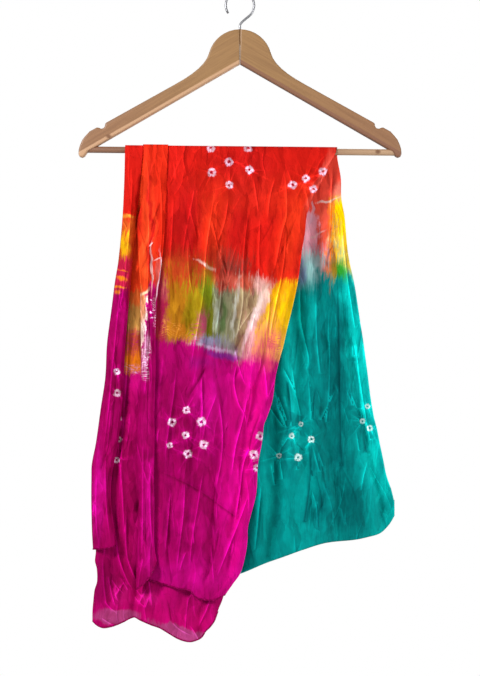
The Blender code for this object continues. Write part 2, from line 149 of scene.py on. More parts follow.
# %% A material built from expressions
class Finish:
    """A material. node() adds any node; the other methods are the few that are used often.

    A node's inputs are named by the socket's name or, where several have one name, by its number.
    """

    def __init__(self, name):
        self.material = bpy.data.materials.new(name)
        self.material.use_nodes = True
        self.tree = self.material.node_tree
        self.tree.nodes.clear()

    def node(self, kind, settings=None, inputs=None, output=0):
        made = self.tree.nodes.new(kind)
        for key, value in (settings or {}).items():
            setattr(made, key, value)
        for key, value in (inputs or {}).items():
            if isinstance(value, Wire):
                self.tree.links.new(value.socket, made.inputs[key])
            else:
                made.inputs[key].default_value = value
        return Wire(self, made.outputs[output])

    def also(self, wire, output):
        """Another output of the node that a wire comes from."""
        return Wire(self, wire.socket.node.outputs[output])

    def attribute(self, name):
        """The vector that the mesh carries under this name."""
        return self.node("ShaderNodeAttribute", {"attribute_name": name}, output="Vector")

    def object_place(self):
        return self.node("ShaderNodeTexCoord", output="Object")

    def axis(self, vector, letter):
        """One number of a vector: X, Y or Z."""
        return self.node("ShaderNodeSeparateXYZ", None, {0: vector}, output=letter)

    def vectors(self, operation, first, second):
        """A Vector Math node. LENGTH and DOT_PRODUCT give a number, the others a vector."""
        output = "Value" if operation in ("LENGTH", "DOT_PRODUCT") else "Vector"
        inputs = {0: first} if second is None else {0: first, 1: second}
        return self.node("ShaderNodeVectorMath", {"operation": operation}, inputs, output)

    def laid(self, vector, centre=(0, 0, 0), turn=(0, 0, 0), size=(1, 1, 1)):
        """The vector as seen from a frame with that centre, turn and unit size."""
        inputs = {"Vector": vector, "Location": centre, "Rotation": turn, "Scale": size}
        return self.node("ShaderNodeMapping", {"vector_type": "TEXTURE"}, inputs)

    def noise(self, vector, detail=2.0, rough=0.5, output=0, size=1.0):
        """Soft noise with spots about `size` across; output 1 gives three noises as a vector."""
        inputs = {"Vector": vector, "Scale": 1 / size, "Detail": detail, "Roughness": rough}
        return self.node("ShaderNodeTexNoise", {"noise_dimensions": "3D"}, inputs, output)

    def mix(self, under, over, share, blend="MIX"):
        """Colour over laid on colour under by share, from 0 to 1."""
        settings = {"data_type": "RGBA", "blend_type": blend}
        return self.node("ShaderNodeMix", settings, {0: share, 6: under, 7: over}, output=2)

    def facets(self, vector, seed, turn, size):
        """Cells that each lean their own way, as in crumpled cloth.

        A cell is about as large as `size`, across and down. Gives three wires: the height, which is
        the dot product of the way from the cell's middle with a random lean; a line that is 1 on
        the border of two cells; and how far the cell leans to one side, from -0.5 to 0.5.
        """
        laid = self.laid(vector, (seed, 0, 0), (0, 0, turn), (*size, 1))
        cell = self.node("ShaderNodeTexVoronoi", {"feature": "F1"}, {"Vector": laid, "Scale": 1.0})
        middle, tone = self.also(cell, "Position"), self.also(cell, "Color")
        lean = self.vectors("SUBTRACT", tone, (0.5, 0.5, 0.5))
        height = self.vectors("DOT_PRODUCT", self.vectors("SUBTRACT", laid, middle), lean)
        edge = self.node(
            "ShaderNodeTexVoronoi", {"feature": "DISTANCE_TO_EDGE"}, {"Vector": laid, "Scale": 1.0}
        )
        return height, edge.ramp(0.07, 0.0), self.axis(lean, "X")

    def bump(self, height, depth, strength=1.0, under=None):
        """The normal of a surface with this height times depth on it, over another bump if given."""
        inputs = {"Height": height, "Distance": depth, "Strength": strength}
        if under is not None:
            inputs["Normal"] = under
        return self.node("ShaderNodeBump", None, inputs)

    def shade(self, inputs):
        """The Principled shader and the material's output."""
        shader = self.node("ShaderNodeBsdfPrincipled", None, inputs)
        end = self.tree.nodes.new("ShaderNodeOutputMaterial")
        self.tree.links.new(shader.socket, end.inputs["Surface"])
        return self.material


def screen(red, green, blue):
    """A colour as seen on a screen, 0 to 255, as the linear colour that shaders work in."""
    seen = np.array([red, green, blue]) / 255
    linear = np.where(seen <= 0.04045, seen / 12.92, ((seen + 0.055) / 1.055) ** 2.4)
    return (*linear.tolist(), 1.0)


# %% [markdown]
# ## Light
#
# Silky cloth shows its folds by the light along them. A lamp half a metre wide at the upper left
# does most of the work: it is small enough for crisp creases and large enough for soft edges. A
# weak wide one at the right keeps the far slopes open, a low one far out at the right draws the
# creases' other flanks, and one behind serves the views of the back. The room is plain white to
# the camera, but dim as a light, or it would flatten every crease.

# %% World, lights and floor
def light(name, place, aim, width, power):
    """A square area light at place, turned to face aim."""
    lamp = bpy.data.lights.new(name, "AREA")
    lamp.size, lamp.energy = width, power
    made = bpy.data.objects.new(name, lamp)
    made.location = place
    heading = np.array(aim) - np.array(place)
    made.rotation_euler = (
        math.acos(-heading[2] / np.linalg.norm(heading)), 0, math.atan2(-heading[0], heading[1])
    )
    bpy.context.scene.collection.objects.link(made)


AIM = (0, 0, BAR_Z - EYE_BELOW_BAR)
light("key", (-1.5, -1.6, 0.6), AIM, 0.5, 50)
light("fill", (1.2, -2.0, 0.0), AIM, 1.0, 10)
light("rim", (2.0, -0.6, -0.7), AIM, 0.5, 16)
light("rear", (0.8, 2.0, 0.4), AIM, 1.4, 20)

ROOM_LIGHT = 0.28
world = bpy.data.worlds.new("white_room")
bpy.context.scene.world = world
world.use_nodes = True
sky = world.node_tree
sky.nodes.clear()
seen = sky.nodes.new("ShaderNodeBackground")
seen.inputs["Color"].default_value = (1, 1, 1, 1)
given = sky.nodes.new("ShaderNodeBackground")
given.inputs["Color"].default_value = (1, 1, 1, 1)
given.inputs["Strength"].default_value = ROOM_LIGHT
rays = sky.nodes.new("ShaderNodeLightPath")
either = sky.nodes.new("ShaderNodeMixShader")
room = sky.nodes.new("ShaderNodeOutputWorld")
sky.links.new(rays.outputs["Is Camera Ray"], either.inputs["Fac"])
sky.links.new(given.outputs[0], either.inputs[1])
sky.links.new(seen.outputs[0], either.inputs[2])
sky.links.new(either.outputs[0], room.inputs["Surface"])
bpy.context.scene.view_settings.view_transform = "Standard"

FLOOR_BELOW = 500 * MM
FLOOR_RADIUS = 1.2
pale_floor = Finish("pale_floor").shade({"Base Color": screen(236, 234, 230), "Roughness": 0.8})
bpy.ops.mesh.primitive_circle_add(
    vertices=96, radius=FLOOR_RADIUS, fill_type="NGON", location=(0, 0, cad_low.z - FLOOR_BELOW)
)
floor = bpy.context.object
floor.name = "floor"
floor.data.materials.append(pale_floor)
print("four lamps, and a floor at z", round((cad_low.z - FLOOR_BELOW) * 1000), "mm")

# %% [markdown]
# ## Surfaces from tables and formulas
#
# A fall of cloth is a grid: shares of its width across, rows down. The helpers below read a smooth
# curve from a short table, make the usual S-shaped step, and put a finished grid into a mesh. They
# work on whole arrays, so a sheet of forty thousand points takes a moment.

# %% Curves, steps and grids
def through(rows, column, at):
    """A smooth curve through a table's rows, read at `at`.

    Between two rows it is a cubic whose slope at each row is that of the straight line from the
    row before to the row after. Outside the table it keeps the end value.
    """
    rows = np.array(rows, float)
    knots, values = rows[:, 0], rows[:, column]
    slopes = np.empty_like(values)
    slopes[1:-1] = (values[2:] - values[:-2]) / (knots[2:] - knots[:-2])
    slopes[0] = (values[1] - values[0]) / (knots[1] - knots[0])
    slopes[-1] = (values[-1] - values[-2]) / (knots[-1] - knots[-2])
    at = np.clip(at, knots[0], knots[-1])
    k = np.clip(np.searchsorted(knots, at, side="right") - 1, 0, len(knots) - 2)
    step = knots[k + 1] - knots[k]
    t = (at - knots[k]) / step
    return (
        (2 * t**3 - 3 * t**2 + 1) * values[k]
        + (t**3 - 2 * t**2 + t) * step * slopes[k]
        + (3 * t**2 - 2 * t**3) * values[k + 1]
        + (t**3 - t**2) * step * slopes[k + 1]
    )


def s_step(low, high, value):
    """0 up to low, 1 from high on and 3t^2 - 2t^3 between, t being the share of the way."""
    t = np.clip((value - low) / (high - low), 0, 1)
    return t * t * (3 - 2 * t)


def grid_mesh(name, points, round_across=False):
    """A mesh of four-sided faces on a rows x columns x 3 array, closed across if asked."""
    rows, columns, _ = points.shape
    index = np.arange(rows * columns).reshape(rows, columns)
    if round_across:
        index = np.concatenate([index, index[:, :1]], axis=1)
    corners = (index[:-1, :-1], index[1:, :-1], index[1:, 1:], index[:-1, 1:])
    quads = np.stack(corners, axis=-1).reshape(-1, 4)
    mesh = bpy.data.meshes.new(name)
    mesh.vertices.add(rows * columns)
    mesh.vertices.foreach_set("co", points.astype(np.float32).ravel())
    mesh.loops.add(quads.size)
    mesh.loops.foreach_set("vertex_index", quads.astype(np.int32).ravel())
    mesh.polygons.add(len(quads))
    mesh.polygons.foreach_set("loop_start", np.arange(0, quads.size, 4, dtype=np.int32))
    mesh.update(calc_edges=True)
    mesh.validate()
    mesh.shade_smooth()
    return mesh


def carry(mesh, name, values):
    """Keep a vector at each vertex under a name that materials can read."""
    held = mesh.attributes.new(name, "FLOAT_VECTOR", "POINT")
    held.data.foreach_set("vector", values.astype(np.float32).ravel())


def add_piece(name, mesh, replaced, material):
    """A finished piece: an object at the origin that rides on the only body."""
    piece = bpy.data.objects.new(name, mesh)
    bpy.context.scene.collection.objects.link(piece)
    mesh.materials.append(material)
    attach(piece, "root")
    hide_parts(*replaced)
    return piece


def tube_points(path, radius, sides, wobble):
    """A round profile carried along a path.

    At each path point the circle is radius * wobble * (cos a * side + sin a * up), where the
    path's direction, side and up are square to each other. Both ends close on the path's end
    point.
    """
    path = np.asarray(path, float)
    along = np.gradient(path, axis=0)
    along /= np.linalg.norm(along, axis=1, keepdims=True)
    side = np.cross(along, np.array([0, 1.0, 0]))
    side /= np.linalg.norm(side, axis=1, keepdims=True)
    up = np.cross(side, along)
    angle = np.linspace(0, 2 * np.pi, sides, endpoint=False)
    size = radius * wobble
    ring = np.cos(angle)[None, :, None] * side[:, None] + np.sin(angle)[None, :, None] * up[:, None]
    body = path[:, None] + ring * size[:, None, None]
    first = np.repeat(path[:1, None], sides, axis=1)
    last = np.repeat(path[-1:, None], sides, axis=1)
    return np.concatenate([first, body, last])


def close_poles(mesh):
    """Merge the points where a tube's ends close, and turn every face outwards."""
    work = bmesh.new()
    work.from_mesh(mesh)
    bmesh.ops.remove_doubles(work, verts=work.verts, dist=0.001 * MM)
    bmesh.ops.recalc_face_normals(work, faces=work.faces)
    work.to_mesh(mesh)
    work.free()


# %% [markdown]
# ## How the layers lie
#
# The layers are stacked on the bar: the hidden inner layer first, then the front and back falls
# and the left pleat, then the centre pleat. A layer's radius at the bar follows from the ones
# under it. Lower down each layer stands a little further off, as the cloth's own folds push it.

# %% Sizes of the layers
bar_low, bar_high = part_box("trouser_bar")
BAR_RADIUS = (bar_high.y - bar_low.y) / 2

# The bar's middle is a little below BAR_Z, and the bar falls to the right. The cloth follows it at
# the top, and is level again this far down.
BAR_MIDDLE_BELOW = 1.5 * MM
BAR_FALL_TO_RIGHT = 0.0095
BAR_FALL_FADES_BY = 150 * MM

# The middle of each layer's wall at the bar. Front and back falls meet at the top with a hair's gap.
UNDER_RADIUS = BAR_RADIUS + 0.8 * MM
LAYER_STEP = 1.35 * MM
OUTER_RADIUS = UNDER_RADIUS + LAYER_STEP
PLEAT_RADIUS = OUTER_RADIUS + LAYER_STEP
TOP_SEAM_HALF_GAP = 0.06 * MM

# A layer stands off the bar's face in full this far down. Its edges roll back over this width, and
# a folded foot goes round a bend of this radius.
EASE_DROP = 120 * MM
ROLL_WIDTH = 9 * MM
FOOT_BEND = 2.2 * MM
CLOTH_THICKNESS = 0.5 * MM

# Creases are pressed flat on the bar: a third of their height stays, and all of it further down.
PRESSED_DROP = 40 * MM
PRESSED_SHARE = 0.35
DEEPEST_TROUGH = 2.6 * MM

# The grid: distances between its columns and rows, and rows over the bar and round a foot.
CELL = 1.5 * MM
ROW = 2.4 * MM
FEWEST_COLUMNS, MOST_COLUMNS = 8, 170
ARC_ROWS = 9
FOOT_ROWS = 16
print("bar radius", round(BAR_RADIUS * 1000, 2), "mm")

# %% [markdown]
# ## The outline of each stretch
#
# The edges are read from the picture as real sizes on the hanger's plane. What hangs nearer the
# camera looks larger, so each size is drawn in, or let out behind, by the layer's distance from
# that plane. The front fall's right edge is not a selvedge but a fold that runs down on a slant.

# %% Edges and hems in millimetres
# Edges. Columns: drop below the bar, left edge, right edge.
FRONT_EDGES = (
    (0, -119, 133),
    (7, -119, 129.5),
    (12, -119, 126),
    (30, -119, 119),
    (48, -119, 109.5),
    (62, -119, 102.3),
    (76, -119.5, 96.7),
    (88, -120, 92.4),
    (115, -122, 89.6),
    (139, -124, 85.5),
    (180, -127, 80.4),
    (221, -129, 71.6),
    (243, -130, 66),
    (272, -132, 59.5),
    (294, -133, 53.4),
    (315, -133, 48.8),
    (339, -134, 46),
    (351, -135, 43.5),
    (370, -136, 37),
    (380, -136, 33),
    (400, -136.5, 31),
    (434, -137, 24.8),
    (475, -137, 22.2),
    (506, -137, 14.6),
    (522, -137, 10.8),
    (540, -137, 10.2),
    (558, -136, 7.8),
    (585, -134, 0.4),
    (600, -132, -10),
    (617, -130, -22),
)
FRONT_HEM = (
    (0, 592),
    (0.24, 600.5),
    (0.39, 606),
    (0.54, 609),
    (0.61, 616),
    (0.69, 620),
    (0.78, 622),
    (0.86, 622),
    (0.92, 620),
    (1, 614.5),
)
LEFT_PLEAT_EDGES = (
    (0, -159, -134),
    (48, -160, -138),
    (97, -162.5, -143.5),
    (154, -168, -148.6),
    (181, -172.5, -151),
    (221, -177.6, -154.5),
    (268, -183.6, -158.6),
    (314, -186, -161),
    (355, -192, -163.5),
    (405, -199, -168.5),
    (434, -204.6, -174.4),
    (453, -205.2, -177.6),
    (480, -205.4, -178.6),
    (506, -205, -176.2),
    (528, -204.4, -172.8),
    (552, -203, -171.5),
)
LEFT_PLEAT_HEM = ((0, 551.5), (0.5, 551), (1, 547))
CENTRE_PLEAT_EDGES = (
    (0, -133.4, -99.5),
    (28, -133, -100.8),
    (70, -135.5, -102),
    (98, -141.5, -103.4),
    (138, -140.5, -106.6),
    (184, -138.2, -112),
    (207, -137.4, -114.8),
    (250, -137, -117),
    (306, -136.8, -117),
    (362, -139.5, -118.4),
    (400, -142.5, -118.2),
    (453, -141.5, -119),
    (489, -139.5, -118.4),
    (524, -140, -118.9),
    (550, -142, -118.2),
    (575, -143, -114),
    (612, -143.5, -111),
)
CENTRE_PLEAT_HEM = ((0, 607), (0.3, 600), (0.6, 590), (1, 569))
UNDER_EDGES = (
    (0, -156, 118),
    (100, -157, 76),
    (200, -169, 60),
    (300, -181, 36),
    (400, -192, 12),
    (450, -197, 6),
    (500, -198, -4),
    (556, -199.3, -10),
    (568, -200.5, -12),
    (578, -198, -14),
    (596, -197.5, -17.5),
    (608, -201, -20.5),
    (622, -202.6, -24.5),
    (640, -204, -31),
    (700, -203, -32),
)
UNDER_HEM = (
    (0, 650.5),
    (0.031, 656),
    (0.078, 659.8),
    (0.129, 659.4),
    (0.18, 657),
    (0.242, 652.5),
    (0.303, 647),
    (0.339, 645.3),
    (0.376, 649),
    (0.466, 655.7),
    (0.552, 661.3),
    (0.643, 671),
    (0.708, 676.7),
    (0.788, 679.4),
    (0.853, 676),
    (0.885, 671.8),
    (0.909, 665),
    (0.95, 658),
    (0.982, 649),
    (1, 637.5),
)
BACK_EDGES = (
    (0, -119, 134),
    (10, -119, 134.8),
    (37, -119.5, 139.4),
    (64, -120.5, 140),
    (92, -121, 144.6),
    (134, -122, 148.2),
    (152, -123, 150.8),
    (180, -125, 157),
    (203, -126, 161),
    (235, -128, 165.8),
    (267, -129, 170.8),
    (303, -131, 175.6),
    (341, -133, 180.4),
    (368, -134, 185),
    (384, -135, 189),
    (404, -136, 193),
    (427, -137, 197.8),
    (450, -138, 202.6),
    (471, -139, 209.6),
    (492, -140, 213.6),
    (530, -141, 212),
    (620, -142, 212),
)
BACK_HEM = (
    (0, 616),
    (0.25, 600),
    (0.40, 585.6),
    (0.50, 571),
    (0.568, 562.5),
    (0.644, 552.8),
    (0.735, 543),
    (0.852, 538.4),
    (0.90, 534.8),
    (0.95, 529),
    (0.982, 517),
    (1, 505),
)
UNDER_BACK_EDGES = (
    (0, -150, 120),
    (100, -150, 82),
    (250, -150, 52),
    (400, -152, 16),
    (600, -152, -8),
)
UNDER_BACK_HEM = ((0, 560), (0.5, 530), (1, 490))
LEFT_BACK_EDGES = (
    (0, -157, -134),
    (150, -164, -137),
    (300, -178, -146),
    (450, -189, -155),
    (600, -190, -158),
)
LEFT_BACK_HEM = ((0, 606), (1, 612))
CENTRE_BACK_EDGES = (
    (0, -133.4, -99.5),
    (150, -131, -98),
    (300, -134, -100),
    (450, -143, -104),
    (600, -146, -108),
)
CENTRE_BACK_HEM = ((0, 588), (1, 582))

# %% [markdown]
# ## Folds and creases
#
# A fold is broad and soft and is in the solids already. A crease is a narrower ridge or trough
# that shows as a line of light; the main ones are placed after the picture. Between them
# this cloth is crinkled all over, because it dried while it was still tied, so a few hundred
# shorter creases are scattered along the way the cloth hangs, uneven in length, depth and place.

# %% Broad folds
# Columns: place across at the top and at the bottom as shares of the width, drops where the fold
# starts and ends, half width, height out of the wall.
FRONT_FOLDS = (
    (0.95, 0.97, 4, 150, 6, 5),
    (0.96, 0.95, 120, 620, 8, 9),
    (0.74, 0.84, 20, 330, 9, 7),
    (0.80, 0.76, 220, 640, 9, 10),
    (0.55, 0.62, 15, 300, 9, 7),
    (0.52, 0.60, 230, 640, 10, 9),
    (0.37, 0.42, 60, 420, 8, 9),
    (0.33, 0.40, 360, 640, 9, 7),
    (0.25, 0.27, 25, 260, 7, 5),
    (0.20, 0.22, 240, 600, 6, 5),
    (0.66, 0.70, 90, 260, 5, 5),
    (0.45, 0.50, 120, 330, 5, 5),
)
UNDER_FOLDS = (
    (0.05, 0.10, 120, 560, 5, -4),
    (0.12, 0.14, 160, 660, 5, -5),
    (0.20, 0.22, 520, 690, 7, -6),
    (0.33, 0.34, 560, 690, 8, -8),
    (0.48, 0.50, 560, 690, 8, -5),
    (0.70, 0.68, 590, 690, 9, -6),
    (0.88, 0.86, 590, 690, 6, -5),
)
BACK_FOLDS = (
    (0.93, 0.97, 30, 600, 8, 8),
    (0.82, 0.86, 60, 420, 10, 9),
    (0.80, 0.78, 330, 620, 13, 10),
    (0.70, 0.68, 20, 560, 11, 10),
    (0.58, 0.56, 50, 400, 10, 8),
    (0.56, 0.50, 300, 640, 14, 10),
    (0.44, 0.40, 30, 620, 12, 9),
    (0.33, 0.28, 60, 620, 11, 8),
    (0.24, 0.21, 40, 620, 9, 7),
)


def broad_folds(folds, share, drop, width):
    """The sum of soft bumps: height * exp(-(distance across / half width)^2).

    Each is faded in over the first 22 and out over the last 12 hundredths of its way down.
    """
    total = np.zeros(np.broadcast(share, drop).shape)
    for at_top, at_bottom, start, end, half_width, rise in folds:
        along = np.clip((drop / MM - start) / (end - start), 0, 1)
        off = (share - at_top - (at_bottom - at_top) * along) * width / (half_width * MM)
        fade = s_step(0, 0.22, along) * s_step(0, 0.12, 1 - along)
        total += rise * MM * fade * np.exp(-(off**2))
    return total


# %% Creases placed one by one
# Columns: half width, height, then the crease's way down as (drop, place across) pairs.
FRONT_CREASES = (
    (2.7, 1.8, ((66, -16), (98, -21), (131, -32))),
    (3.1, 2.4, ((52, -34), (98, -41), (140, -47), (181, -49), (214, -53), (249, -59), (312, -70))),
    (2.7, 2.2, ((74, 13), (122, 7), (162, 4), (206, 4), (230, 1), (278, -9))),
    (2.0, 1.4, ((-4, 33), (15, 31), (35, 36))),
    (2.0, 1.6, ((35, 18), (60, 22), (88, 26))),
    (2.0, 1.8, ((37, 48), (66, 41), (95, 38))),
    (2.4, 1.8, ((91, 28), (137, 26), (169, 26))),
    (2.4, 2.0, ((26, 61), (58, 64), (90, 64), (113, 58), (162, 48), (177, 44))),
    (2.0, 1.6, ((47, 88), (66, 93), (87, 95))),
    (3.1, -3.0, ((298, -45), (320, -57), (344, -72))),
    (2.4, 2.4, ((299, -48), (319, -53), (361, -52), (400, -55))),
    (2.7, 2.6, ((292, -4), (321, -8), (350, -2), (367, 7), (381, 9))),
    (2.0, 1.8, ((296, 33), (317, 36), (345, 38))),
    (3.4, -1.5, ((440, -118), (466, -64), (492, -26), (517, 8))),
    (2.7, 2.4, ((330, 12), (372, 4), (410, -6), (452, -12))),
    (2.4, 2.0, ((340, -30), (390, -24), (430, -26), (470, -34))),
    (2.7, 2.2, ((395, 22), (430, 6), (470, 0), (520, -8))),
    (2.4, -1.8, ((360, 30), (400, 16), (440, 12))),
    (3.4, 2.8, ((470, 14), (510, 0), (550, -16), (590, -32))),
    (2.7, 2.4, ((440, -50), (490, -58), (540, -66), (580, -70))),
    (3.4, 3.0, ((450, -76), (500, -78), (550, -84), (585, -88))),
    (2.4, 2.0, ((470, -96), (520, -100), (560, -104))),
    (2.0, 1.4, ((545, -40), (570, -38), (600, -36))),
    (2.4, 1.8, ((300, -88), (340, -92), (380, -98), (430, -104))),
    (2.0, 1.4, ((30, -60), (70, -66), (120, -76), (160, -80))),
    (2.0, 1.4, ((60, -92), (110, -94), (170, -98))),
    (2.4, 1.8, ((110, 64), (160, 60), (210, 50), (262, 40))),
    (2.0, 1.5, ((170, -24), (215, -28), (255, -34))),
)
BACK_CREASES = (
    (3.1, 3.0, ((180, 83), (236, 84), (265, 90), (290, 95), (314, 91))),
    (3.4, 3.2, ((196, 105), (258, 106), (322, 112))),
    (2.7, 2.4, ((298, 71), (340, 78), (370, 84), (384, 87))),
    (2.7, 2.6, ((346, 48), (372, 60), (394, 68))),
    (2.7, 2.4, ((330, 147), (354, 156), (378, 163))),
    (2.4, 2.4, ((428, 41), (452, 46), (475, 50))),
    (2.4, 2.2, ((455, 91), (480, 105))),
    (2.7, 2.6, ((439, 107), (459, 115), (475, 123))),
    (1.6, 1.8, ((395, 68), (408, 60), (421, 53))),
    (1.6, 1.8, ((401, 98), (412, 89), (424, 80))),
    (1.6, 2.0, ((340, 30), (366, 48), (392, 67))),
    (1.6, 1.8, ((352, 70), (374, 71), (394, 69))),
    (1.6, 2.0, ((330, 133), (362, 117), (396, 100))),
    (1.6, 1.6, ((401, 101), (416, 105), (431, 109))),
    (1.6, 1.6, ((414, 107), (440, 116), (466, 123))),
    (1.6, 1.8, ((424, 54), (446, 58), (470, 60))),
    (1.6, 2.0, ((334, 152), (358, 162), (383, 172))),
    (1.6, 1.4, ((384, 168), (400, 160), (416, 156))),
    (1.6, -1.4, ((400, 74), (420, 92), (436, 100))),
    (3.1, 2.8, ((427, 177), (455, 170), (475, 167), (510, 155))),
    (4.8, -3.4, ((150, 134), (194, 136), (290, 138), (400, 140), (470, 144))),
    (2.7, 2.4, ((20, 128), (60, 126), (110, 124), (150, 118))),
    (2.4, 2.0, ((90, 140), (140, 144), (200, 152), (260, 161))),
    (3.1, 2.4, ((230, 122), (290, 124), (350, 122), (400, 116))),
    (2.7, 2.2, ((250, 158), (320, 166), (390, 178), (440, 190))),
    (2.7, -2.4, ((400, 100), (450, 98), (500, 92), (545, 84))),
    (2.7, 2.2, ((460, 30), (500, 26), (560, 20))),
    (2.7, 2.4, ((120, 10), (220, 0), (330, -8), (420, -4))),
    (2.7, 2.4, ((60, -60), (180, -66), (300, -78), (460, -84))),
    (2.7, -2.4, ((80, 60), (180, 52), (300, 40), (420, 36))),
    (1.8, 2.4, ((328, 47), (360, 56), (389, 67))),
    (2.0, 2.6, ((300, 59), (328, 73), (357, 83))),
    (1.6, 2.2, ((336, 51), (362, 61), (385, 69))),
    (1.8, -2.2, ((316, 66), (350, 70), (388, 72))),
    (1.8, 2.4, ((312, 94), (345, 97), (393, 99))),
    (1.6, -2.0, ((330, 104), (360, 102), (392, 100))),
    (1.8, 2.4, ((357, 120), (374, 112), (391, 104))),
    (1.6, 2.2, ((406, 108), (416, 117), (426, 126))),
    (1.8, 2.4, ((410, 101), (434, 107), (475, 120))),
    (1.6, -2.0, ((414, 96), (440, 100), (480, 104))),
    (1.8, 2.2, ((426, 46), (446, 47), (466, 50))),
    (1.8, 2.2, ((430, 55), (444, 58), (458, 63))),
    (1.6, 2.0, ((434, 78), (446, 79), (462, 82))),
    (1.8, 2.4, ((385, 160), (418, 165), (450, 168))),
    (1.8, -2.2, ((390, 170), (420, 176), (456, 180))),
    (1.6, 2.0, ((396, 183), (420, 189), (446, 200))),
)
UNDER_CREASES = (
    (2.0, 2.0, ((300, -168), (380, -170), (450, -164), (520, -160), (560, -156))),
    (2.0, 1.8, ((200, -152), (300, -156), (400, -162), (500, -168))),
    (2.0, 2.4, ((520, -172), (560, -168), (590, -158), (612, -146))),
    (2.0, 2.4, ((500, -158), (560, -156), (585, -148), (606, -138))),
    (3.4, 3.0, ((590, -126), (608, -124), (632, -122))),
    (2.7, 2.2, ((588, -182), (610, -178), (632, -172))),
    (2.0, 1.6, ((560, -190), (600, -188), (636, -184))),
    (2.7, 2.6, ((600, -36), (630, -44), (660, -58))),
    (2.0, -1.6, ((620, -100), (640, -96), (655, -94))),
    (2.0, 1.4, ((612, -70), (640, -74), (668, -76))),
    (1.8, 1.8, ((592, -178), (604, -170), (614, -160))),
    (1.8, 1.8, ((596, -160), (606, -166), (620, -174))),
    (1.6, 1.6, ((600, -172), (612, -172), (626, -168))),
    (1.8, 1.6, ((590, -166), (602, -158), (610, -154))),
    (1.6, 1.6, ((606, -144), (616, -136), (624, -124))),
    (1.8, 2.0, ((604, -128), (616, -134), (630, -142))),
    (1.6, 1.8, ((610, -118), (620, -126), (636, -132))),
    (1.6, 1.6, ((616, -146), (624, -140), (634, -128))),
    (1.8, 1.6, ((622, -188), (632, -180), (640, -170))),
    (1.6, 1.6, ((646, -192), (654, -180), (660, -166))),
    (1.6, 1.4, ((650, -96), (662, -84), (672, -66))),
    (1.6, 1.4, ((656, -70), (668, -62), (680, -56))),
)
LEFT_PLEAT_CREASES = (
    (1.8, 1.4, ((20, -148), (100, -152), (180, -160), (240, -166))),
    (1.8, 1.8, ((150, -160), (220, -168), (300, -176), (380, -184), (430, -192))),
    (1.6, 1.6, ((330, -176), (400, -182), (440, -186), (500, -184), (548, -178))),
    (2.0, -1.6, ((300, -170), (360, -174), (420, -180))),
    (1.6, 1.2, ((440, -198), (500, -199), (545, -196))),
)
CENTRE_PLEAT_CREASES = (
    (1.6, 1.6, ((60, -128), (120, -126), (190, -128), (260, -130), (330, -131))),
    (1.6, -1.6, ((150, -124), (250, -125), (350, -127), (420, -128))),
    (1.6, 1.6, ((20, -112), (90, -108), (170, -112), (250, -119))),
    (1.6, 1.8, ((430, -124), (500, -124), (560, -120))),
    (1.6, 1.4, ((380, -134), (460, -134), (540, -135), (590, -136))),
    (1.6, -1.2, ((470, -130), (520, -130), (570, -129))),
)


# %% Adding creases up
# A crease's pull fades over this distance from its line and is full from this height on. Where no
# crease is near, a point keeps this many millimetres as its distance.
LINE_FADE = 3 * MM
FULL_RISE = 2 * MM
FAR_OFF = 9.0


class Creases:
    """Ridges added up over a grid, and the line of the crease that matters most at each point.

    A ridge is rise * share * exp(-|off / half width|^1.2), where off is the distance from its line
    and share fades it at its ends. Its pull is share * exp(-|off| / LINE_FADE), less for a crease
    lower than FULL_RISE and less than 0 for a trough. Each point keeps the off, in millimetres,
    and the pull of the crease that pulls most, so that the material can paint a highlight line
    finer than the mesh, with painted light and shade on its flanks.
    """

    def __init__(self, shape):
        self.height, self.off, self.pull = np.zeros(shape), np.full(shape, FAR_OFF), np.zeros(shape)

    def add(self, rows, off, half_width, rise, share):
        self.height[rows] += rise * share * np.exp(-(np.abs(off / half_width) ** 1.2))
        strong = np.clip(rise / FULL_RISE, -1, 1) * share
        pull = strong * np.exp(-np.abs(off) / LINE_FADE)
        wins = np.abs(pull) > np.abs(self.pull[rows])
        self.off[rows] = np.where(wins, off / MM, self.off[rows])
        self.pull[rows] = np.where(wins, pull, self.pull[rows])


def placed_creases(found, creases, across, drop):
    """Add each crease along its way; off is measured square to the way.

    Only the rows that the crease could touch are worked on, with 30 mm to spare at both ends,
    because the rows of a grid sag with its hem.
    """
    spare = 30
    for half_width, rise, way in creases:
        start, end = way[0][0], way[-1][0]
        rows = np.flatnonzero(np.abs(2 * drop[:, 0] / MM - start - end) < end - start + 2 * spare)
        at = drop[rows] / MM
        slope = (through(way, 1, at + 2) - through(way, 1, at - 2)) / 4
        off = (across[rows] - through(way, 1, at) * MM) / np.sqrt(1 + slope**2)
        run = (at - start) / (end - start)
        fade = s_step(-0.06, 0.25, run) * s_step(-0.06, 0.25, 1 - run)
        found.add(rows, off, half_width * MM, rise * MM, fade)


# %% Scattered crinkles
def crinkles(found, share, drop, width, count, seed):
    """Add short ridges along the cloth's fall.

    Each has its own middle, length, lean, bow, half width and height, from a seeded generator.
    Half widths run from 1.5 to 7.5 mm, and narrow ones are more common than wide ones. Two of
    three stand up and the third is a trough.
    """
    draw = np.random.default_rng(seed)
    longest = float(drop.max())
    for _ in range(count):
        at = draw.uniform(0, 1)
        middle = draw.uniform(0, longest)
        reach = draw.uniform(10, 55) * MM
        lean = draw.normal(0, 0.19)
        bow = draw.normal(0, 2.5) * MM
        half_width = (1.5 + 6 * draw.uniform() ** 2.5) * MM
        rise = (0.5 * MM + 0.13 * half_width) * draw.uniform(0.4, 1.4) * draw.choice([1, 1, -1])
        run = (drop - middle) / reach
        rows = np.flatnonzero(np.abs(run).min(axis=1) < 1)
        part = run[rows]
        off = (share[rows] - at) * width[rows] - lean * part * reach - bow * part**2
        found.add(rows, off, half_width, rise, s_step(0, 0.5, 1 - np.abs(part)))


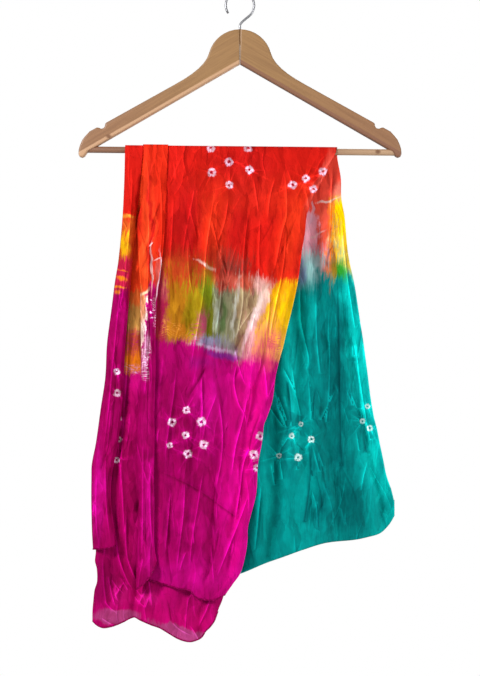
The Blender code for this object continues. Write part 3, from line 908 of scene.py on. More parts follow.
# %% [markdown]
# ## The tied points
#
# Each white ring is where a pinch of cloth was bound with thread. The thread keeps the dye out,
# and the pinch never quite lies flat again: a small peak stays, with sharp creases that run out
# from it like a star. The mesh gets the peak and the star. It also keeps, at every vertex, the way
# to the nearest tied point in units of the ring's size, so one short piece of the material draws
# all the rings.

# %% Where the cloth was tied
# Columns: place across, drop, ring's half size, turn in degrees.
FRONT_TIES = (
    (-15.2, 15.2, 6.2, 20),
    (-40.6, -3.5, 6.2, 5),
    (11.1, -4.2, 6.2, 30),
    (-39.1, 30, 6.6, 40),
    (13.1, 25.8, 6.0, 10),
    (-14.6, 47.3, 5.8, 60),
    (-15.2, -20, 6.0, 15),
    (72.8, 46.4, 6.2, 75),
    (91.2, 37.3, 5.8, 20),
    (114.7, 27.4, 6.2, 60),
    (101.4, 52.2, 5.8, 30),
    (-75.2, 393.9, 5.4, 15),
    (-74.1, 359.3, 5.6, 40),
    (-94, 376.3, 6.2, 70),
    (-53.3, 375.6, 6.8, 20),
    (-97, 408.2, 4.6, 35),
    (-50.2, 407.3, 6.6, 65),
    (-71.9, 420.1, 6.4, 30),
    (27.9, 395.7, 6.4, 70),
    (19.2, 421.1, 6.8, 30),
    (23.1, 439.3, 5.4, 50),
)
LEFT_PLEAT_TIES = (
    (-170.4, 306.2, 4.8, 20),
    (-170, 335.8, 5.4, 50),
)
UNDER_TIES = (
    (-166.7, 400.1, 4.2, 10),
    (-170.5, 428.4, 4.6, 35),
    (-168, 371, 4.4, 60),
)
BACK_TIES = (
    (71.4, 394.8, 4.2, 10),
    (98.5, 399.7, 5.0, 40),
    (54, 422.6, 4.0, 25),
    (80.2, 425, 5.6, 60),
    (84, 379, 3.6, 50),
    (176.2, 354.2, 4.0, 15),
    (169, 374.8, 4.0, 45),
    (179.4, 384.2, 4.6, 30),
    (-15.2, -14, 6.0, 30),
    (-40, 30, 6.2, 30),
    (10, 28, 6.0, 10),
    (-14, 50, 6.0, 55),
    (92, 40, 5.8, 20),
    (-60, 390, 5.8, 20),
    (-36, 405, 5.6, 45),
    (-84, 406, 5.8, 15),
    (-60, 424, 5.8, 40),
    (-38, 436, 5.4, 30),
    (-82, 440, 5.6, 60),
)


# %% The way to a tie, and the star round it
# A ring's border and its peak's height, in half sizes of the ring. A star has this many creases,
# and rows of the grid that are further from its tie than STAR_SEES aren't touched.
RING_REACH = 1.08
PEAK_HEIGHT = 0.24
PEAK_WIDTH = 3 * MM
STAR_CREASES = 9
STAR_HALF_WIDTH = 1.8 * MM
STAR_SEES = 60 * MM


def nearest_tie(ties, across, drop):
    """For each point, the way from its nearest tied point: (right, down, nearness).

    Right and down are turned by the tie's own angle and divided by the ring's half size. Nearness
    is 1 out to the ring's border and 0 from a quarter further out, before another tie is nearer.
    """
    found = np.zeros((*across.shape, 3))
    best = np.full(across.shape, np.inf)
    for x, down, size, turn in ties:
        right, below = across / MM - x, drop / MM - down
        far = np.hypot(right, below)
        c, s = math.cos(math.radians(turn)), math.sin(math.radians(turn))
        nearness = 1 - s_step(1.0, 1.25, far / size / RING_REACH)
        turned = (c * right + s * below) / size, (c * below - s * right) / size
        way = np.stack([*turned, nearness], axis=-1)
        closer = far < best
        best = np.where(closer, far, best)
        found = np.where(closer[..., None], way, found)
    return found


def tie_stars(found, ties, across, drop, seed):
    """Add a peak, height * exp(-distance / PEAK_WIDTH), and a star of creases round it.

    A crease of the star runs straight out on its own heading and fades with the distance. Off is
    the way along the circle, the turn away from that heading times the distance.
    """
    draw = np.random.default_rng(seed)
    for x, down, size, _ in ties:
        rows = np.flatnonzero(np.abs(drop - down * MM).min(axis=1) < STAR_SEES)
        right, below = across[rows] - x * MM, drop[rows] - down * MM
        far = np.hypot(right, below)
        angle = np.arctan2(below, right)
        found.height[rows] += PEAK_HEIGHT * size * MM * np.exp(-far / PEAK_WIDTH)
        for _ in range(STAR_CREASES):
            heading = draw.uniform(-np.pi, np.pi)
            reach = draw.uniform(7, 22) * MM
            turned = np.angle(np.exp(1j * (angle - heading)))
            fade = np.exp(-far / reach) * s_step(0, 5 * MM, far) * (np.abs(turned) < 1)
            found.add(rows, turned * far, STAR_HALF_WIDTH, draw.uniform(1.0, 2.8) * MM, fade)


# %% [markdown]
# ## One fall of cloth
#
# A fall leaves the top of the bar, rounds it and hangs. Its grid is laid out in the picture's
# plane and pushed along the line of sight by the layer's distance, so its outline stays where the
# picture has it. Creases near the bar are pressed flat there, as the cloth's weight lies on it.
#
# A material can't see how a surface bends, so each vertex also carries what the material needs:
# its place in the cloth, the way from the nearest tie, and three numbers on the creases. They are
# its height over the mean of its neighbourhood, its distance from the line of the crease that
# pulls most, and that crease's pull. The material paints light and shade from these three.

# %% The form of a fall
@dataclass
class Fall:
    """One stretch of cloth between the top of the bar and its lower edge.

    facing is -1 in front and 1 behind. Radius is that of the wall's middle at the bar, and the
    edges, the hem, folds, creases and ties are tables as above. In millimetres, stand_off is the
    distance that the layer gains on its way down, arch what its middle gains over its edges, and
    roll_left and roll_right what an edge rolls back. turn_up is how far the foot is folded up
    behind, and edge_light how strongly each edge draws a line of light. Cell is the width of a
    column.
    """

    facing: int
    radius: float
    edges: tuple
    hem: tuple
    stand_off: float = 0
    arch: float = 0
    roll_left: float = 0
    roll_right: float = 0
    turn_up: float = 0
    folds: tuple = ()
    creases: tuple = ()
    ties: tuple = ()
    edge_light: tuple = (0, 0)
    crinkle_count: int = 0
    seed: int = 1
    cell: float = CELL

    def tilt(self, x):
        """How far the bar lies below its nominal height at x."""
        return BAR_MIDDLE_BELOW + BAR_FALL_TO_RIGHT * x

    def grid(self):
        """Shares across, rows down, and the picture's place of every grid point."""
        widths = [right - left for _, left, right in self.edges]
        columns = int(np.clip(max(widths) * MM / self.cell, FEWEST_COLUMNS, MOST_COLUMNS))
        share = np.linspace(0, 1, columns + 1)
        foot = through(self.hem, 1, share) * MM - self.bend()
        rows = int(foot.max() / max(ROW, self.cell))
        drop = np.linspace(0, 1, rows + 1)[:, None] * foot[None, :]
        share = np.broadcast_to(share, drop.shape)
        left = through(self.edges, 1, drop / MM) * MM
        right = through(self.edges, 2, drop / MM) * MM
        return share, drop, left + share * (right - left), right - left

    def bend(self):
        """The radius of the bend at a folded foot, or 0."""
        return FOOT_BEND if self.turn_up else 0

    def relief(self, share, drop, x, width):
        """Creases of every kind, pressed flat where the cloth is on the bar."""
        found = Creases(share.shape)
        placed_creases(found, self.creases, x, drop)
        crinkles(found, share, drop, width, self.crinkle_count, self.seed)
        tie_stars(found, self.ties, x, drop, self.seed + 100)
        # An edge gets a ridge and a painted highlight line, only where it hangs free of the bar.
        every = np.arange(len(share))
        for bright, way in zip(self.edge_light, (share * width, (share - 1) * width)):
            fade = bright * s_step(60 * MM, 160 * MM, drop)
            found.add(every, way, 1 * MM, FULL_RISE, fade)
        rise = found.height
        rise = np.where(rise < 0, DEEPEST_TROUGH * np.tanh(rise / DEEPEST_TROUGH), rise)
        free = s_step(0, PRESSED_DROP, drop)
        found.height = rise * free + np.maximum(rise, 0) * PRESSED_SHARE * (1 - free)
        return found

    def broad(self, share, drop, width):
        """The layer's distance from the bar's face, without its creases."""
        ease = s_step(0, EASE_DROP, drop)
        left = self.roll_left * (1 - s_step(0, ROLL_WIDTH, share * width))
        right = self.roll_right * (1 - s_step(0, ROLL_WIDTH, (1 - share) * width))
        arch = self.arch * (1 - (2 * share - 1) ** 4)
        body = ease * (self.stand_off + arch - left - right) * MM
        return body + broad_folds(self.folds, share, drop, width)

    def hang(self, x, drop, out):
        """Points at the picture's place (x, drop), moved along the sight line to stand out."""
        near = 1 + self.facing * out / VIEW_DISTANCE
        level = drop + self.tilt(x) * (1 - s_step(0, BAR_FALL_FADES_BY, drop))
        height = BAR_Z - EYE_BELOW_BAR + (EYE_BELOW_BAR - level) * near
        return np.stack([x * near, self.facing * out, height], axis=-1)

    def over_bar(self, x, rise, turns):
        """The quarter turn over the bar, its rows from the top seam to the bar's face."""
        first = math.asin(TOP_SEAM_HALF_GAP / self.radius)
        angle = first + (math.pi / 2 - first) * turns[:, None]
        out = self.radius + rise[None, :] * np.sin(angle) ** 2
        near = 1 + self.facing * self.radius / VIEW_DISTANCE
        lower = (EYE_BELOW_BAR - self.tilt(x)) * (1 - near) * turns[:, None]
        height = BAR_Z - self.tilt(x) + out * np.cos(angle) - lower
        across = np.broadcast_to(x * near, out.shape)
        return np.stack([across, self.facing * out * np.sin(angle), height], axis=-1)

    def foot(self, x, drop, out, turns):
        """The fold at the foot: half a turn round its bend, then up behind."""
        half = np.minimum(turns, 0.5)[:, None] * 2 * math.pi
        up = np.maximum(turns - 0.5, 0)[:, None] * 2 * self.turn_up
        level = drop + FOOT_BEND * np.sin(half) - up
        behind = out + FOOT_BEND * (1 - np.cos(half))
        return self.hang(np.broadcast_to(x, level.shape), level, behind)

    def surface(self):
        """All the points, and for each its place in the cloth and what its creases are.

        The place is the way across and down in millimetres, and less than 0 on top of the bar.
        """
        share, drop, x, width = self.grid()
        found = self.relief(share, drop, x, width)
        out = self.radius + self.broad(share, drop, width) + found.height
        turns = np.arange(ARC_ROWS) / ARC_ROWS
        top = self.over_bar(x[0], out[0] - self.radius, turns)
        points = np.concatenate([top, self.hang(x, drop, out)])
        below = 0
        if self.turn_up:
            below = FOOT_ROWS
            turns = np.arange(1, below + 1) / below
            points = np.concatenate([points, self.foot(x[-1], drop[-1], out[-1], turns)])
        # The neighbourhood is 4 columns to each side and 7 rows up and down.
        around = box_mean(box_mean(found.height, 4, 1), 7, 0)
        relief = np.stack([(found.height - around) / MM, found.off, found.pull], axis=-1)
        place = np.stack([x, drop, 0 * x], axis=-1) / MM
        ends = ((ARC_ROWS, below), (0, 0), (0, 0))
        relief, place = np.pad(relief, ends, mode="edge"), np.pad(place, ends, mode="edge")
        rows_up = np.arange(ARC_ROWS, 0, -1)[:, None]
        place[:ARC_ROWS, :, 1] -= rows_up * self.radius * math.pi / 2 / MM / ARC_ROWS
        return points, place, relief


def box_mean(values, half, axis):
    """The mean over 2 * half + 1 neighbours along one axis, by differences of a running sum."""
    pad = [(half + 1, half) if k == axis else (0, 0) for k in range(2)]
    total = np.cumsum(np.pad(values, pad, mode="edge"), axis=axis)
    low = np.take(total, np.arange(values.shape[axis]), axis=axis)
    high = np.take(total, np.arange(values.shape[axis]) + 2 * half + 1, axis=axis)
    return (high - low) / (2 * half + 1)


# %% A fall as a piece
def cloth_piece(name, fall, replaced, material):
    """A fall as a piece: its grid, what its material reads at each vertex, and a thin wall."""
    points, place, relief = fall.surface()
    mesh = grid_mesh(name, points)
    carry(mesh, "place", place.reshape(-1, 3))
    tie = nearest_tie(fall.ties, place[..., 0] * MM, place[..., 1] * MM)
    carry(mesh, "tie", tie.reshape(-1, 3))
    carry(mesh, "relief", relief.reshape(-1, 3))
    piece = add_piece(name, mesh, replaced, material)
    wall = piece.modifiers.new("wall", "SOLIDIFY")
    wall.thickness, wall.offset = CLOTH_THICKNESS, 0
    sides = np.linalg.norm(np.diff(points, axis=1), axis=-1)[:-1]
    falls = np.linalg.norm(np.diff(points, axis=0), axis=-1)[:, :-1]
    area = float((sides * falls).sum())
    print(f"{name}: {points.shape[1]} x {points.shape[0]} points, about {area:.3f} m2")
    return piece, points


# %% The falls
# The counts of crinkles were tried until the scatter looked like the picture's. A seed only has to
# differ from the others.
front = Fall(
    facing=-1, radius=OUTER_RADIUS, edges=FRONT_EDGES, hem=FRONT_HEM, stand_off=6, roll_right=3,
    folds=FRONT_FOLDS, creases=FRONT_CREASES, ties=FRONT_TIES, crinkle_count=170, seed=11,
    edge_light=(0, 0.6),
)
under = Fall(
    facing=-1, radius=UNDER_RADIUS, edges=UNDER_EDGES, hem=UNDER_HEM, stand_off=3, roll_left=2,
    roll_right=3, folds=UNDER_FOLDS, creases=UNDER_CREASES, ties=UNDER_TIES, crinkle_count=110,
    seed=12, cell=2.4 * MM,
)
left_pleat = Fall(
    facing=-1, radius=OUTER_RADIUS, edges=LEFT_PLEAT_EDGES, hem=LEFT_PLEAT_HEM, stand_off=4,
    arch=9, roll_left=2, creases=LEFT_PLEAT_CREASES, ties=LEFT_PLEAT_TIES, crinkle_count=60,
    edge_light=(0, 0.8), seed=13, cell=1.2 * MM,
)
centre_pleat = Fall(
    facing=-1, radius=PLEAT_RADIUS, edges=CENTRE_PLEAT_EDGES, hem=CENTRE_PLEAT_HEM, stand_off=7,
    arch=9, roll_left=1.2, roll_right=1.6, creases=CENTRE_PLEAT_CREASES, crinkle_count=80,
    edge_light=(0.3, 0.8), seed=14, cell=1.2 * MM,
)
back = Fall(
    facing=1, radius=OUTER_RADIUS, edges=BACK_EDGES, hem=BACK_HEM, stand_off=6, roll_right=3,
    turn_up=20 * MM, folds=BACK_FOLDS, creases=BACK_CREASES, ties=BACK_TIES, crinkle_count=300,
    edge_light=(0, 0.5), seed=15, cell=2.05 * MM,
)
under_back = Fall(
    facing=1, radius=UNDER_RADIUS, edges=UNDER_BACK_EDGES, hem=UNDER_BACK_HEM, stand_off=2,
    crinkle_count=80, seed=16, cell=4.5 * MM,
)
left_back = Fall(
    facing=1, radius=OUTER_RADIUS, edges=LEFT_BACK_EDGES, hem=LEFT_BACK_HEM, stand_off=4, arch=8,
    crinkle_count=70, seed=17, cell=2 * MM,
)
centre_back = Fall(
    facing=1, radius=PLEAT_RADIUS, edges=CENTRE_BACK_EDGES, hem=CENTRE_BACK_HEM, stand_off=7,
    arch=9, crinkle_count=70, seed=18, cell=2 * MM,
)

# %% [markdown]
# ## The dye
#
# The dye was put on in bands across the cloth and ran along its threads before it dried. So each
# colour is a band or a soft patch with a place and a size in millimetres, and its border is pushed
# about by two noises: a broad one, and a fine one that is long down the cloth and narrow across,
# which draws the streaks. A patch is an ellipse; the last three numbers give its softness, its
# strength and how much the streaks break it up. Not every patch is dye: the lit and shaded ones,
# and a few lighter ones beside the layers in front, are painted light and painted shade.

# %% A material for dyed silk
@dataclass
class Dye:
    """The colours of one stretch of cloth, with the light and shade that are painted on it.

    bands: each starts at a drop that may change from one side to the other. Columns: drop left of
    x1, drop right of x2, x1, x2, softness, colour. The colour ZONE stands for the colours of
    `zone`, which change across. Its columns: x, softness, colour. zone_slant moves them sideways
    with the drop, on the right of the cloth.
    patches: columns x, drop, half width, half height, turn in degrees, softness, strength,
    streaks, colour.
    scratches: the marks that the thread left. Columns: x, drop, half width, half height, colour.
    ring and core are the colours of a tied ring and its middle. Painted highlights on ridges,
    creases and facets, and the dye's paler patches and threads, are multiplied by
    highlight_and_pale_gain. crumple is the depth of the crumpling in millimetres.
    """

    bands: tuple
    zone: tuple = ()
    zone_slant: float = 0
    patches: tuple = ()
    scratches: tuple = ()
    ring: tuple = screen(216, 180, 194)
    core: tuple = screen(96, 10, 40)
    # The tint of painted highlights, and of the dye's paler patches and threads.
    highlight_and_pale_gain: tuple = (1.38, 1.5, 1.6, 1)
    crumple: float = 5.5


ZONE = "zone"
ZONE_MIDDLE = 226
RED = screen(208, 27, 18)
RED_BRIGHT = screen(240, 60, 24)
RED_DEEP = screen(172, 14, 20)
MAGENTA = screen(178, 3, 104)
# The lighter and darker magenta below are painted light and painted shade, laid in patches.
MAGENTA_LIT = screen(208, 8, 138)
MAGENTA_SHADED = screen(132, 0, 62)
TEAL = screen(1, 148, 144)
# The lighter and darker teal below are painted light and painted shade, laid in patches.
TEAL_LIT = screen(6, 208, 200)
TEAL_SHADED = screen(0, 80, 84)
LENS_PINK = screen(174, 66, 122)
SHADE = (0.55, 0.4, 0.45, 1)
MOTTLE = (0.62, 0.5, 0.58, 1)
SILK_SPECULAR = 0.03


# %% Bands, zones, patches and scratches
def coloured(finish, dye, x, drop, warped, drift, streak, fleck):
    """The dye's colour: its bands one over the other, then its patches and its scratches. Some
    patches are painted light and shade.

    A band is there where (drop - level) / (2 * softness) + 1/2 goes from 0 to 1. A patch is there
    inside the ellipse whose length of (way / half sizes) is 1. The noises move the drop, the place
    across and that length.
    """
    # How many millimetres the broad drift, the streaks and the flecks push a border.
    run = streak.ramp(0.3, 0.7) - 0.5
    streaked = drop + (finish.axis(drift, "X") - 0.5) * 26 + run * 12 + (fleck - 0.5) * 16
    across = x + (finish.axis(drift, "Y") - 0.5) * 24 + run * 5 + (fleck - 0.5) * 16
    across = across + (drop - ZONE_MIDDLE) * x.ramp(-20, 40) * dye.zone_slant
    colour = finish.node("ShaderNodeRGB")
    colour.socket.default_value = dye.bands[0][5]
    for left, right, x1, x2, soft, tint in dye.bands[1:]:
        level = x.ramp(x1, x2) * (right - left) + left
        if tint == ZONE:
            tint = finish.node("ShaderNodeRGB")
            tint.socket.default_value = dye.zone[0][2]
            for start, blur, column in dye.zone[1:]:
                tint = finish.mix(tint, column, across.ramp(start - blur, start + blur))
        share = ((streaked - level) / (2 * soft) + 0.5).ramp(0, 1)
        colour = finish.mix(colour, tint, share)
    for cx, cy, rx, ry, turn, soft, strength, broken, tint in dye.patches:
        local = finish.laid(warped, (cx, cy, 0), (0, 0, math.radians(turn)), (rx, ry, 1))
        reach = finish.vectors("LENGTH", local, None) + run * broken + (fleck - 0.5) * 1.2 * broken
        colour = finish.mix(colour, tint, reach.ramp(1 + soft, 1 - soft) * strength)
    thread = finish.noise(finish.laid(warped, (0, 3, 0), (0, 0, 0.1), (7, 0.9, 1)), detail=2)
    for cx, cy, rx, ry, tint in dye.scratches:
        reach = finish.vectors("LENGTH", finish.laid(warped, (cx, cy, 0), size=(rx, ry, 1)), None)
        colour = finish.mix(colour, tint, reach.ramp(1.2, 0.7) * thread.ramp(0.52, 0.62) * 0.85)
    return colour


# %% [markdown]
# ## Rings, creases and silk
#
# Close to, this silk is a thin skin full of small facets: it was wrung out and dried while it was
# tied, and its folds catch the light in thin lines. All of that could be modelled, but only with
# millions of faces. So the mesh has the larger creases, and the material draws the rest from
# noises, from two sizes of leaning facets and from the numbers that the mesh carries. Much of it
# is painted light and shade: lighter ridges, crease lines and fold edges, darker troughs, and
# facets painted lit on one side and shaded on the other.

# %% Rings and silk
def ringed(finish, dye, colour, place, fleck):
    """The tied rings: white where the thread kept the dye out, dark where it bit in the middle.

    A ring's shape is between a circle, sqrt(x^2 + y^2), and a square on its point, |x| + |y|, and
    noise makes it uneven.
    """
    tie = finish.attribute("tie")
    grain = finish.noise(finish.laid(place, size=(1.6, 1.6, 1)), detail=3, rough=0.7)
    tugged = finish.noise(finish.laid(place, size=(3.5, 3.5, 1)), output=1)
    tugged = finish.vectors("SUBTRACT", tugged, (0.5, 0.5, 0.5))
    way = finish.vectors("ADD", tie, finish.vectors("MULTIPLY", tugged, (0.8, 0.8, 0)))
    right, below = finish.axis(way, "X"), finish.axis(way, "Y")
    round_part = finish.vectors("LENGTH", finish.vectors("MULTIPLY", way, (1, 1, 0)), None)
    square_part = right.math("ABSOLUTE") + below.math("ABSOLUTE")
    at = round_part * 0.55 + square_part * 0.34 + (fleck - 0.5) * 0.4 + (grain - 0.5) * 0.5
    known = finish.axis(tie, "Z")
    ring = at.ramp(0.22, 0.42) * at.ramp(1.05, 0.75) * known
    torn = finish.axis(tugged, "Z").ramp(-0.2, 0.02) * 0.5 + 0.5
    colour = finish.mix(colour, dye.ring, ring * torn * (grain.ramp(0.3, 0.58) * 0.5 + 0.5))
    return finish.mix(colour, dye.core, at.ramp(0.34, 0.1) * known * 0.7)


def crease_shading_and_mottle(finish, dye, colour, place, drift, seed):
    """Painted light and shade with the creases, and the mottling of a hand-dyed cloth.

    Troughs get painted shade and ridges painted light. A crease's line gets a painted highlight,
    with one flank painted in the light and the other painted in the shade.
    """
    creased = finish.attribute("relief")
    relief, off = finish.axis(creased, "X"), finish.axis(creased, "Y")
    pull = finish.axis(creased, "Z")
    # A painted highlight along the crease's crest, and painted light and shade on its two flanks.
    line = off.math("ABSOLUTE").ramp(1.1, 0.2) * pull.ramp(0.0, 0.6)
    flank = (0.5 - off.ramp(-0.5, 0.5)) * pull
    mottled = finish.noise(finish.laid(place, (3, seed, 0), size=(20, 34, 1)), detail=4, rough=0.6)
    threads = finish.noise(finish.laid(place, (seed, 0, 0), size=(0.8, 14, 1)), detail=2)
    washed = finish.axis(drift, "Z").ramp(0.48, 0.66)
    # Painted shade in troughs and on one flank, painted light on ridges, flanks and crests; the
    # mottle, the washed patches and the threads are the dye's own tone.
    for tone, share in (
        (SHADE, relief.ramp(0.0, -1.0) * 0.5),
        (dye.highlight_and_pale_gain, relief.ramp(0.1, 1.6) * 0.7),
        (MOTTLE, mottled.ramp(0.42, 0.72) * 0.42),
        (SHADE, flank.ramp(0.0, -0.4) * 0.65),
        (dye.highlight_and_pale_gain, flank.ramp(0.0, 0.4) * 0.6),
        (dye.highlight_and_pale_gain, line),
        (dye.highlight_and_pale_gain, washed * 0.4),
        (dye.highlight_and_pale_gain, threads.ramp(0.5, 0.8) * 0.25),
    ):
        colour = finish.mix(colour, tone, share, "MULTIPLY")
    return colour


def silk(finish, dye, colour, place, moved, seed):
    """Silk over a colour: crumpling and fine crinkles bend the light, and a highlight is painted
    along their edges.

    Two sizes of facets lie over each other, both long down the cloth. Those that lean to one side
    are painted a little lighter and the others darker, a painted light and shade which shows the
    crumpling where the lamps are too soft to.
    """
    bowed = finish.vectors("ADD", place, finish.vectors("MULTIPLY", moved, (1.0, 0.8, 0)))
    large, large_edge, large_lit = finish.facets(bowed, seed, 0.08, (13, 60))
    small, small_edge, small_lit = finish.facets(bowed, seed * 3, -0.14, (5, 22))
    lit = large_lit + small_lit * 0.7
    patchy = finish.noise(finish.laid(place, (0, seed, 0), size=(24, 34, 1)), detail=1)
    # Painted highlights along the facets' edges, in patches.
    edge_highlight = large_edge * patchy.ramp(0.42, 0.62) + small_edge * patchy.ramp(0.56, 0.42) * 0.6
    # Painted light on facets that lean one way, painted shade on the others.
    for tone, share in (
        (SHADE, lit.ramp(0.0, -0.6) * 0.3),
        (dye.highlight_and_pale_gain, lit.ramp(0.0, 0.6) * 0.3),
        (dye.highlight_and_pale_gain, edge_highlight * 0.3),
    ):
        colour = finish.mix(colour, tone, share, "MULTIPLY")
    crinkle = finish.noise(finish.laid(place, (seed, 2, 0), size=(2.2, 5, 1)), detail=3, rough=0.6)
    bent = finish.bump(large, dye.crumple * MM)
    bent = finish.bump(small, 0.35 * dye.crumple * MM, under=bent)
    bent = finish.bump(crinkle, 0.5 * MM, 0.4, under=bent)
    return finish.shade(
        {
            "Base Color": colour,
            "Roughness": crinkle * 0.14 + 0.6,
            "Normal": bent,
            "Specular IOR Level": SILK_SPECULAR,
        }
    )


def dyed(name, dye, seed):
    """The whole material: dye, rings, painted light and shade with the creases, and silk.

    The seed moves every noise, so that no two stretches have the same pattern.
    """
    finish = Finish(name)
    place = finish.attribute("place")
    x, drop = finish.axis(place, "X"), finish.axis(place, "Y")

    # What dye does on wet silk: it drifts, it runs in streaks along the threads and it flecks.
    drift = finish.noise(finish.laid(place, (seed * 37, seed * 11, 0), size=(30, 40, 1)), output=1)
    streak = finish.noise(
        finish.laid(place, (seed * 5, 0, 0), (0, 0, 0.05), (1.9, 26, 1)), detail=3, rough=0.6
    )
    fleck = finish.noise(finish.laid(place, (seed, 9, 0), size=(5, 7, 1)), detail=4, rough=0.7)

    # The drift as a way in millimetres, which bends the patches and the facets.
    moved = finish.vectors("SUBTRACT", drift, (0.5, 0.5, 0.5))
    moved = finish.vectors("MULTIPLY", moved, (24, 30, 0))
    warped = finish.vectors("ADD", place, moved)
    colour = coloured(finish, dye, x, drop, warped, drift, streak, fleck)
    colour = ringed(finish, dye, colour, place, fleck)
    colour = crease_shading_and_mottle(finish, dye, colour, place, drift, seed)
    return silk(finish, dye, colour, place, moved, seed)


# %% The dye of each stretch
# FLAT is for a band that starts at the same drop from side to side.
FLAT = (0, 1)
FRONT_DYE = Dye(
    bands=(
        (-30, -30, *FLAT, 1, RED),
        (158, 184, -62, -28, 9, ZONE),
        (264, 292, -64, 20, 6, MAGENTA),
    ),
    zone=(
        (-200, 1, screen(170, 30, 60)),
        (-101, 4, screen(176, 114, 20)),
        (-78, 6, screen(162, 134, 18)),
        (-54, 5, screen(112, 114, 26)),
        (-34, 5, screen(126, 122, 92)),
        (-3, 7, screen(172, 146, 106)),
        (20, 4, screen(240, 196, 176)),
        (32, 4, screen(246, 190, 6)),
    ),
    zone_slant=0.4,
    scratches=(
        (-94, 250, 16, 14, screen(226, 150, 60)),
        (50, 262, 10, 18, screen(206, 50, 110)),
        (-60, 250, 14, 14, screen(196, 40, 110)),
    ),
    patches=(
        (20, 60, 70, 26, 8, 0.7, 0.3, 0.5, RED_BRIGHT),
        (6, 44, 36, 44, 0, 0.95, 0.5, 0.4, RED_DEEP),
        (112, 42, 7, 46, 23, 0.5, 0.6, 0.4, screen(246, 96, 78)),
        (-104, 194, 4, 12, 0, 0.8, 0.6, 1.0, screen(222, 130, 112)),
        (-30, 156, 26, 14, 0, 0.9, 0.5, 1.0, screen(166, 50, 40)),
        (-70, 110, 24, 60, 0, 0.7, 0.6, 0.5, RED_DEEP),
        (70, 118, 18, 60, 14, 0.9, 0.7, 0.5, RED_BRIGHT),
        (-36, 112, 18, 44, 4, 0.9, 0.6, 0.5, RED_BRIGHT),
        (34, 134, 26, 30, 0, 0.9, 0.6, 0.5, screen(228, 28, 18)),
        (-90, 172, 14, 10, 0, 0.9, 0.6, 1.4, screen(226, 96, 20)),
        (-26, 178, 26, 10, 8, 0.9, 0.75, 1.6, screen(176, 60, 40)),
        (-66, 161, 46, 18, -4, 0.95, 0.85, 0.9, screen(170, 50, 22)),
        (-10, 168, 20, 18, 0, 0.95, 0.85, 1.0, screen(122, 54, 44)),
        (-10, 118, 18, 28, 0, 0.9, 0.45, 0.4, RED_DEEP),
        (-4, 186, 30, 8, 6, 0.95, 0.55, 1.2, screen(196, 74, 60)),
        (6, 186, 18, 8, 0, 0.9, 0.7, 1.6, screen(196, 84, 60)),
        (-48, 158, 12, 2.0, 30, 0.8, 0.7, 1.2, screen(236, 206, 190)),
        (-45, 186, 7, 24, 0, 0.7, 0.7, 0.8, screen(124, 146, 10)),
        (-24, 232, 3.5, 24, 3, 0.7, 0.75, 0.8, screen(62, 96, 44)),
        (-33, 226, 3, 26, -3, 0.7, 0.6, 1.2, screen(190, 196, 176)),
        (-8, 226, 3, 36, 6, 0.7, 0.6, 1.2, screen(206, 204, 190)),
        (-76, 172, 26, 12, 0, 0.9, 0.6, 2.2, screen(196, 60, 30)),
        (-26, 192, 3.5, 8, 0, 0.8, 0.7, 1.2, screen(176, 50, 40)),
        (-11, 190, 3, 8, 0, 0.8, 0.6, 1.2, screen(176, 60, 50)),
        (-88, 250, 18, 9, 0, 0.8, 0.6, 1.6, screen(210, 120, 30)),
        (-52, 238, 6, 16, 8, 0.8, 0.75, 1.0, screen(176, 40, 100)),
        (-106, 222, 5, 34, 0, 0.7, 0.8, 1.6, screen(160, 24, 70)),
        (-40, 262, 15, 9, 12, 0.6, 0.8, 0.9, screen(146, 150, 190)),
        (-20, 272, 24, 7, 16, 0.6, 0.6, 0.9, screen(120, 118, 130)),
        (18, 232, 3.4, 44, 22, 0.5, 0.9, 0.7, screen(250, 230, 218)),
        (26, 186, 9, 12, 10, 0.7, 0.8, 1.0, screen(250, 196, 184)),
        (66, 196, 16, 10, 0, 0.9, 0.4, 1.0, screen(250, 140, 12)),
        (50, 246, 9, 32, 10, 0.7, 0.85, 0.6, screen(248, 190, 8)),
        (44, 264, 8, 8, 0, 0.8, 0.5, 1.6, screen(226, 84, 90)),
        (38, 296, 9, 12, 10, 0.8, 0.8, 1.0, screen(232, 110, 30)),
        (-24, 281, 22, 4.5, 14, 0.6, 0.85, 0.7, screen(104, 34, 128)),
        (-50, 292, 16, 8, 0, 0.9, 0.5, 1.0, screen(132, 20, 120)),
        (-34, 272, 22, 2.0, 14, 0.8, 0.5, 1.4, screen(206, 180, 214)),
        # The magenta patches from here on are painted light and painted shade, lighter ones and darker
        # ones laid over the dye's magenta.
        (-90, 330, 26, 40, 0, 0.9, 0.5, 0.5, MAGENTA_SHADED),
        (-76, 440, 40, 50, 0, 0.9, 0.55, 0.5, MAGENTA_SHADED),
        (-46, 500, 14, 64, 0, 0.9, 0.45, 0.4, MAGENTA_SHADED),
        (10, 560, 14, 60, 20, 0.9, 0.6, 0.5, MAGENTA_LIT),
        (20, 350, 30, 90, 8, 0.8, 0.9, 0.4, screen(222, 6, 134)),
        (-40, 350, 24, 50, 0, 0.9, 0.6, 0.6, MAGENTA_LIT),
        (8, 480, 34, 105, 8, 0.95, 0.9, 0.4, screen(226, 4, 140)),
        (-78, 365, 16, 26, 0, 0.9, 0.5, 0.4, MAGENTA_SHADED),
        (-14, 380, 15, 50, 0, 0.9, 0.6, 0.4, screen(168, 2, 96)),
        (-62, 560, 30, 26, 0, 0.9, 0.5, 0.4, MAGENTA_SHADED),
        (-110, 480, 18, 90, 0, 0.9, 0.2, 0.6, MAGENTA_SHADED),
        (-60, 585, 40, 24, 0, 0.9, 0.4, 0.6, MAGENTA_LIT),
        (-50, 520, 30, 50, 0, 0.9, 0.5, 0.4, screen(160, 2, 92)),
    ),
)
